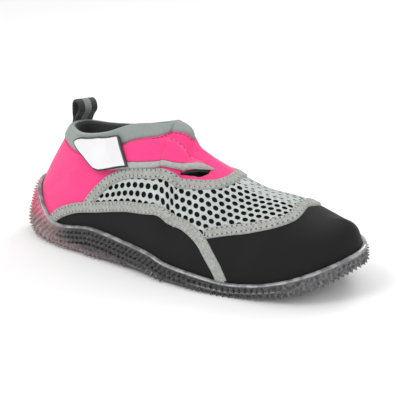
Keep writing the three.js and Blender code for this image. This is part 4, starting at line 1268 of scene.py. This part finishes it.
def make_loop():
    edge = float(across_of(INNER, 1.0))
    foot = float(across_of(INNER, 1 - LOOP_SEAM / rib_length(LOOP_STATION, INNER)))
    rim, beside, low = (skin(np.array([s]), np.array([c]))[0] for s, c in (
        (LOOP_STATION, edge), (LOOP_STATION + 0.01, edge), (LOOP_STATION, foot)))
    sideways = unit((beside - rim) * np.array([1, 1, 0]))
    back = np.array([-sideways[1], sideways[0], 0])
    seam_run = low - rim
    lean = np.linalg.norm(seam_run) / abs(seam_run[2])
    inner = COLLAR_PROUD + (2 * GAP + LOOP_THICK / 2) * lean
    outer = inner + (LOOP_THICK + 2 * GAP) * lean
    crown = LOOP_HEIGHT - LOOP_THICK / 2
    seam_out = float(seam_run @ back)

    def at(out, up):
        place = rim + back * out
        place[2] = rim[2] + up
        return place

    route = [
        at(inner + seam_out, seam_run[2]),
        at(inner, GAP),
        at(inner - 0.25 * LOOP_DEPTH, 0.25 * crown),
        at(inner - 0.75 * LOOP_DEPTH, 0.62 * crown),
        at(inner - 0.62 * LOOP_DEPTH, 0.9 * crown),
        at(inner - 0.2 * LOOP_DEPTH, crown),
        at(inner + 0.2 * LOOP_DEPTH, 0.85 * crown),
        at(outer + 0.05 * LOOP_DEPTH, 0.35 * crown),
        at(outer, GAP),
        at(outer + seam_out, seam_run[2]),
    ]
    middle, length = catmull(route, LOOP_STEPS)
    onward = unit(np.gradient(middle, axis=0))
    up = unit(np.cross(onward, sideways))
    ring = len(LOOP_PROFILE)
    wide = np.array([p[0] for p in LOOP_PROFILE]) * LOOP_WIDTH / 2
    thick = np.array([p[1] for p in LOOP_PROFILE]) * LOOP_THICK / 2
    points = middle[:, None, :] + sideways * wide[None, :, None] + up[:, None, :] * thick[None, :, None]
    uv = np.stack([np.repeat(length[:, None], ring, 1), np.repeat(wide[None, :], len(length), 0)], -1)
    faces = []
    for i in range(len(middle) - 1):
        for k in range(ring):
            n = (k + 1) % ring
            faces.append([i * ring + k, i * ring + n, (i + 1) * ring + n, (i + 1) * ring + k])
    faces.append([k for k in reversed(range(ring))])
    faces.append([(len(middle) - 1) * ring + k for k in range(ring)])
    piece = make_object("heel_loop", points.reshape(-1, 3), faces, [webbing], None, uv.reshape(-1, 2))
    return seat(piece, "webbing", "pull_loop")


make_loop()


# The cup sole
SOLE_COLUMNS = LAST * 18
SOLE_PROFILE = [
    [1.00, 1.0, 0.0],
    [0.62, 1.0, 0.0],
    [0.38, 0.4, 0.0],
    [0.22, 0.0, 0.1],
    [0.08, 0.0, 0.5],
    [0.00, 0.0, 1.0],
]
WALL_LEVELS = 16
INNER_LEVELS = 5
BEAD_STEPS = 9


def rise_at_height(station, side, height):
    low = np.zeros_like(station)
    high = np.ones_like(station)
    for _ in range(24):
        middle = (low + high) / 2
        z = rib(side, station, middle)[..., 2]
        low = np.where(z < height, middle, low)
        high = np.where(z < height, high, middle)
    return low


def hug(side, station, height, wall):
    across = across_of(side, rise_at_height(station, side, height))
    point = skin(station, across) + normals(station, across) * wall
    point[..., 2] = height
    return point


def wall_point(side, station, share, grown=0.0):
    """A point of the sole's outer wall, from share 1 under the bead to 0 at the lower edge."""
    table = np.array(SOLE_PROFILE)[::-1]
    base = ground_at(side, station) + LUG_HEIGHT
    top = ground_at(side, station) + value(side, "cup", station) - RIM_BEAD_HEIGHT
    height = base + (top - base) * share
    out = outward(side, station)
    follow = np.interp(share, table[:, 0], table[:, 1])
    follow = follow * follow * (3 - 2 * follow)
    tuck = np.interp(share, table[:, 0], table[:, 2])
    free = np.stack([value(side, "x", station), value(side, "y", station), height], -1)
    free = free - out * (tuck * value(side, "tuck", station))[..., None]
    near = hug(side, station, np.maximum(height, base + SOLE_THICK), CUP_WALL)
    near[..., 2] = height
    return free * (1 - follow)[..., None] + near * follow[..., None] + out * grown


def sole_side(side):
    """Rows of points for one side, from the bed up the inside, over the bead and down to the lower edge."""
    station = np.linspace(0, LAST, SOLE_COLUMNS + 1)
    ground = ground_at(side, station)
    bed = ground + SOLE_THICK - GAP
    rim = ground + value(side, "cup", station)
    rows = []
    start = hug(side, station, ground + SOLE_THICK, GAP * 0.3)
    start[..., 2] = bed
    rows.append(start)
    for k in range(1, INNER_LEVELS + 1):
        height = bed + (rim - RIM_BEAD - bed) * k / INNER_LEVELS
        rows.append(hug(side, station, np.maximum(height, ground + SOLE_THICK), GAP * 0.3))
    middle_wall = CUP_WALL / 2
    for k in range(BEAD_STEPS + 1):
        turn = math.pi * k / BEAD_STEPS
        height = rim - RIM_BEAD_HEIGHT / 2 + math.sin(turn) * RIM_BEAD_HEIGHT / 2
        wall = middle_wall - math.cos(turn) * (middle_wall + (RIM_BEAD if k > BEAD_STEPS / 2 else -GAP * 0.3))
        rows.append(hug(side, station, height, wall))
    for k in range(WALL_LEVELS + 1):
        share = np.full_like(station, (1 - k / WALL_LEVELS))
        rows.append(wall_point(side, station, share))
    return np.stack(rows, 1)


def loft_sides(outer, inner):
    """Points and quads of two facing sides, closed above and below by strips."""
    columns, rows = outer.shape[:2]
    points = np.concatenate([outer.reshape(-1, 3), inner.reshape(-1, 3)])
    first = np.arange(columns * rows).reshape(columns, rows)
    second = first + columns * rows
    quads = [
        np.stack([first[:-1, :-1], first[:-1, 1:], first[1:, 1:], first[1:, :-1]], -1).reshape(-1, 4),
        np.stack([second[:-1, :-1], second[1:, :-1], second[1:, 1:], second[:-1, 1:]], -1).reshape(-1, 4),
        np.stack([first[:-1, 0], first[1:, 0], second[1:, 0], second[:-1, 0]], -1),
        np.stack([first[:-1, -1], second[:-1, -1], second[1:, -1], first[1:, -1]], -1),
    ]
    return points, quads


def make_sole():
    points, quads = loft_sides(sole_side(OUTER), sole_side(INNER))
    first, place = weld(points)
    faces = place[np.concatenate(quads)]
    rows = 1 + INNER_LEVELS + BEAD_STEPS + 1 + WALL_LEVELS + 1
    level = np.tile(np.arange(rows - 1), SOLE_COLUMNS * 2)
    bead = (level > INNER_LEVELS) & (level < INNER_LEVELS + BEAD_STEPS + 1)
    kinds = np.concatenate([bead.astype(int), np.zeros(2 * SOLE_COLUMNS, int)])
    kept, kept_kinds = tidy_faces(faces.tolist(), kinds.tolist())
    piece = make_object("cup_sole", points[first], kept, [moulded, rim_gloss], kept_kinds)
    return seat(piece, "moulded_sole", "outsole")


make_sole()

NUB_PITCH = 3.8 * MM
NUB_ROW = 3.5 * MM
NUB_RADIUS = 1.25 * MM
NUB_HEIGHT = 2.2 * MM
NUB_SIDES = 6


def wall_sheet(side):
    """The outer wall as points by station and by length down from the bead."""
    station = np.linspace(0, LAST, LAST * 24 + 1)
    shares = np.linspace(1, 0, 33)
    points = np.stack([wall_point(side, station, np.full_like(station, s)) for s in shares], 1)
    down = np.concatenate([np.zeros((len(station), 1)),
                           np.cumsum(np.linalg.norm(np.diff(points, axis=1), axis=2), axis=1)], 1)
    return points, down


def cone(centre, direction, radius, height, turn):
    """A low cone with a blunt tip, as points and faces."""
    side = unit(np.cross(direction, [0.31, 0.17, 0.93]))
    other = np.cross(direction, side)
    levels = [(1.0, -0.25), (0.62, 0.4), (0.16, 1.0)]
    points = []
    for fat, up in levels:
        for k in range(NUB_SIDES):
            a = 2 * math.pi * (k + turn) / NUB_SIDES
            spoke = side * math.cos(a) + other * math.sin(a)
            points.append(centre + direction * height * up + spoke * radius * fat)
    faces = []
    for level in range(len(levels) - 1):
        for k in range(NUB_SIDES):
            n = (k + 1) % NUB_SIDES
            a = level * NUB_SIDES
            faces.append([a + k, a + n, a + NUB_SIDES + n, a + NUB_SIDES + k])
    faces.append([(len(levels) - 1) * NUB_SIDES + k for k in range(NUB_SIDES)])
    faces.append([k for k in reversed(range(NUB_SIDES))])
    return points, faces


def make_nubs():
    points = []
    faces = []
    for side in (OUTER, INNER):
        sheet, down = wall_sheet(side)
        deepest = down[:, -1].max()
        for row in range(int(deepest / NUB_ROW)):
            depth = (row + 0.55) * NUB_ROW
            line = []
            fits = []
            for i in range(len(sheet)):
                line.append([np.interp(depth, down[i], sheet[i, :, k]) for k in range(3)])
                fits.append(depth < down[i, -1] - 0.3 * NUB_ROW)
            line = np.array(line)
            length = np.concatenate([[0], np.cumsum(np.linalg.norm(np.diff(line, axis=0), axis=1))])
            shift = NUB_PITCH / 2 * (row % 2)
            below = np.array([[np.interp(depth + 1 * MM, down[i], sheet[i, :, k]) for k in range(3)]
                              for i in range(len(sheet))])
            for at in np.arange(shift, length[-1], NUB_PITCH):
                i = int(np.searchsorted(length, at))
                i = min(max(i, 1), len(line) - 1)
                if not (fits[i] and fits[i - 1]):
                    continue
                centre = np.array([np.interp(at, length, line[:, k]) for k in range(3)])
                fall = np.array([np.interp(at, length, below[:, k]) for k in range(3)]) - centre
                onward = line[i] - line[i - 1]
                direction = unit(np.cross(fall, onward)) * (1 if side == OUTER else -1)
                made, ring_faces = cone(centre, direction, NUB_RADIUS, NUB_HEIGHT, 0.5 * (row % 2))
                start = len(points)
                points.extend(made)
                faces.extend([[start + i for i in face] for face in ring_faces])
    piece = make_object("sole_nubs", np.array(points), faces, [moulded], None, None, False)
    return seat(piece, "moulded_sole")


make_nubs()


def station_at_x(side, x):
    stations = np.linspace(0, LAST, 400)
    return float(np.interp(x, value(side, "x", stations), stations))


def lug_centres():
    centres = []
    columns = int((LENGTH / 2 - LUG_MARGIN - SOLE_TUCK) / LUG_PITCH)
    for i in range(-columns, columns + 1):
        x = i * LUG_PITCH
        stations = [station_at_x(side, x) for side in (OUTER, INNER)]
        rooms = [LUG_MARGIN + float(value(side, "tuck", s)) for side, s in zip((OUTER, INNER), stations)]
        low = float(value(OUTER, "y", stations[0])) + rooms[0]
        high = float(value(INNER, "y", stations[1])) - rooms[1]
        count = int((high - low) / LUG_PITCH) + 1
        start = (low + high) / 2 - (count - 1) / 2 * LUG_PITCH
        ground = max(float(ground_at(side, s)) for side, s in zip((OUTER, INNER), stations))
        for k in range(count):
            centres.append((x, start + k * LUG_PITCH, ground))
    return centres


LUG_LEVELS = [(1.28, 1.5), (1.14, 1.0), (1.02, 0.12), (0.92, 0.0)]


def make_lugs():
    """Round-edged studs under the sole, their feet on the floor."""
    points = []
    faces = []
    sides = 18
    for x, y, z in lug_centres():
        start = len(points)
        for fat, up in LUG_LEVELS:
            for k in range(sides):
                a = 2 * math.pi * k / sides
                reach = LUG_RADIUS * fat * (1 + 0.05 * math.cos(6 * a))
                points.append((x + math.cos(a) * reach, y + math.sin(a) * reach, z + up * LUG_HEIGHT))
        for level in range(len(LUG_LEVELS) - 1):
            for k in range(sides):
                n = (k + 1) % sides
                a = start + level * sides
                faces.append([a + n, a + k, a + sides + k, a + sides + n])
        last = start + (len(LUG_LEVELS) - 1) * sides
        faces.append([last + k for k in reversed(range(sides))])
        faces.append([start + k for k in range(sides)])
    piece = make_object("sole_lugs", np.array(points), faces, [moulded], None, None, False)
    return seat(piece, "moulded_sole")


make_lugs()


# The foot bed
def make_insole():
    inset = SOLE_EDGE + UPPER_WALL + GAP
    sides = []
    for side in (OUTER, INNER):
        station = np.linspace(0, LAST, LAST * 12 + 1)
        out = outward(side, station)
        bed = ground_at(side, station) + SOLE_THICK
        rows = []
        for draw_in, up in ((3.0, 1.0), (1.0, 0.96), (0.0, 0.75), (0.0, 0.1)):
            height = bed + INSOLE_THICK * up
            point = np.stack([value(side, "x", station), value(side, "y", station), height], -1)
            rows.append(point - out * (inset + draw_in * MM))
        sides.append(np.stack(rows, 1))
    points, quads = loft_sides(*sides)
    first, place = weld(points)
    kept, _ = tidy_faces(place[np.concatenate(quads)].tolist(), [0] * sum(len(q) for q in quads))
    points = points[first]
    piece = make_object("foot_bed", points, kept, [lining_cloth], None, points[:, :2])
    return seat(piece, "insole", "insole")


make_insole()


# Floor, light and camera
def make_floor():
    half = 3.0
    points = [(-half, -half, 0), (half, -half, 0), (half, half, 0), (-half, half, 0)]
    pale = new_material("pale_floor", (0.92, 0.92, 0.92), 0.9)
    floor = make_object("floor", points, [[0, 1, 2, 3]], [pale], None, None, False)


def add_area(name, place, target, size, power):
    light = bpy.data.lights.new(name, "AREA")
    light.shape = "DISK"
    light.size = size
    light.energy = power
    lamp = bpy.data.objects.new(name, light)
    lamp.location = place
    lamp.rotation_euler = (Vector(target) - Vector(place)).to_track_quat("-Z", "Y").to_euler()
    bpy.context.scene.collection.objects.link(lamp)


def make_light():
    world = bpy.data.worlds.new("studio")
    world.use_nodes = True
    background = world.node_tree.nodes["Background"]
    background.inputs["Color"].default_value = (1, 1, 1, 1)
    background.inputs["Strength"].default_value = 0.84
    bpy.context.scene.world = world
    middle = (0, 0, 0.04)
    add_area("key", (-0.35, -0.9, 1.1), middle, 0.7, 6.5)
    add_area("fill", (0.9, -0.6, 0.7), middle, 0.8, 2.5)
    add_area("back", (0.1, 1.0, 0.9), middle, 0.6, 4)
    bpy.context.scene.view_settings.view_transform = "Standard"


CAMERA_AZIMUTH = 32.388
CAMERA_ELEVATION = 18.455
CAMERA_DISTANCE = 781.27 * MM
CAMERA_TARGET = ((0.5 - MIDDLE) * LENGTH, 0, 40 * MM)
CAMERA_FOCAL_PIXELS = 1200
IMAGE_PIXELS = 400
TARGET_PIXEL = (182.96, 200.03)


def make_camera():
    camera = bpy.data.cameras.new("camera")
    camera.sensor_width = 36
    camera.lens = CAMERA_FOCAL_PIXELS / IMAGE_PIXELS * camera.sensor_width
    camera.shift_x = (IMAGE_PIXELS / 2 - TARGET_PIXEL[0]) / IMAGE_PIXELS
    camera.shift_y = (TARGET_PIXEL[1] - IMAGE_PIXELS / 2) / IMAGE_PIXELS
    camera.clip_start = 0.01
    a = math.radians(CAMERA_AZIMUTH)
    e = math.radians(CAMERA_ELEVATION)
    back = Vector((math.sin(a) * math.cos(e), -math.cos(a) * math.cos(e), math.sin(e)))
    eye = bpy.data.objects.new("camera", camera)
    eye.location = Vector(CAMERA_TARGET) + back * CAMERA_DISTANCE
    eye.rotation_euler = (-back).to_track_quat("-Z", "Y").to_euler()
    bpy.context.scene.collection.objects.link(eye)
    bpy.context.scene.camera = eye


make_floor()
make_light()
make_camera()
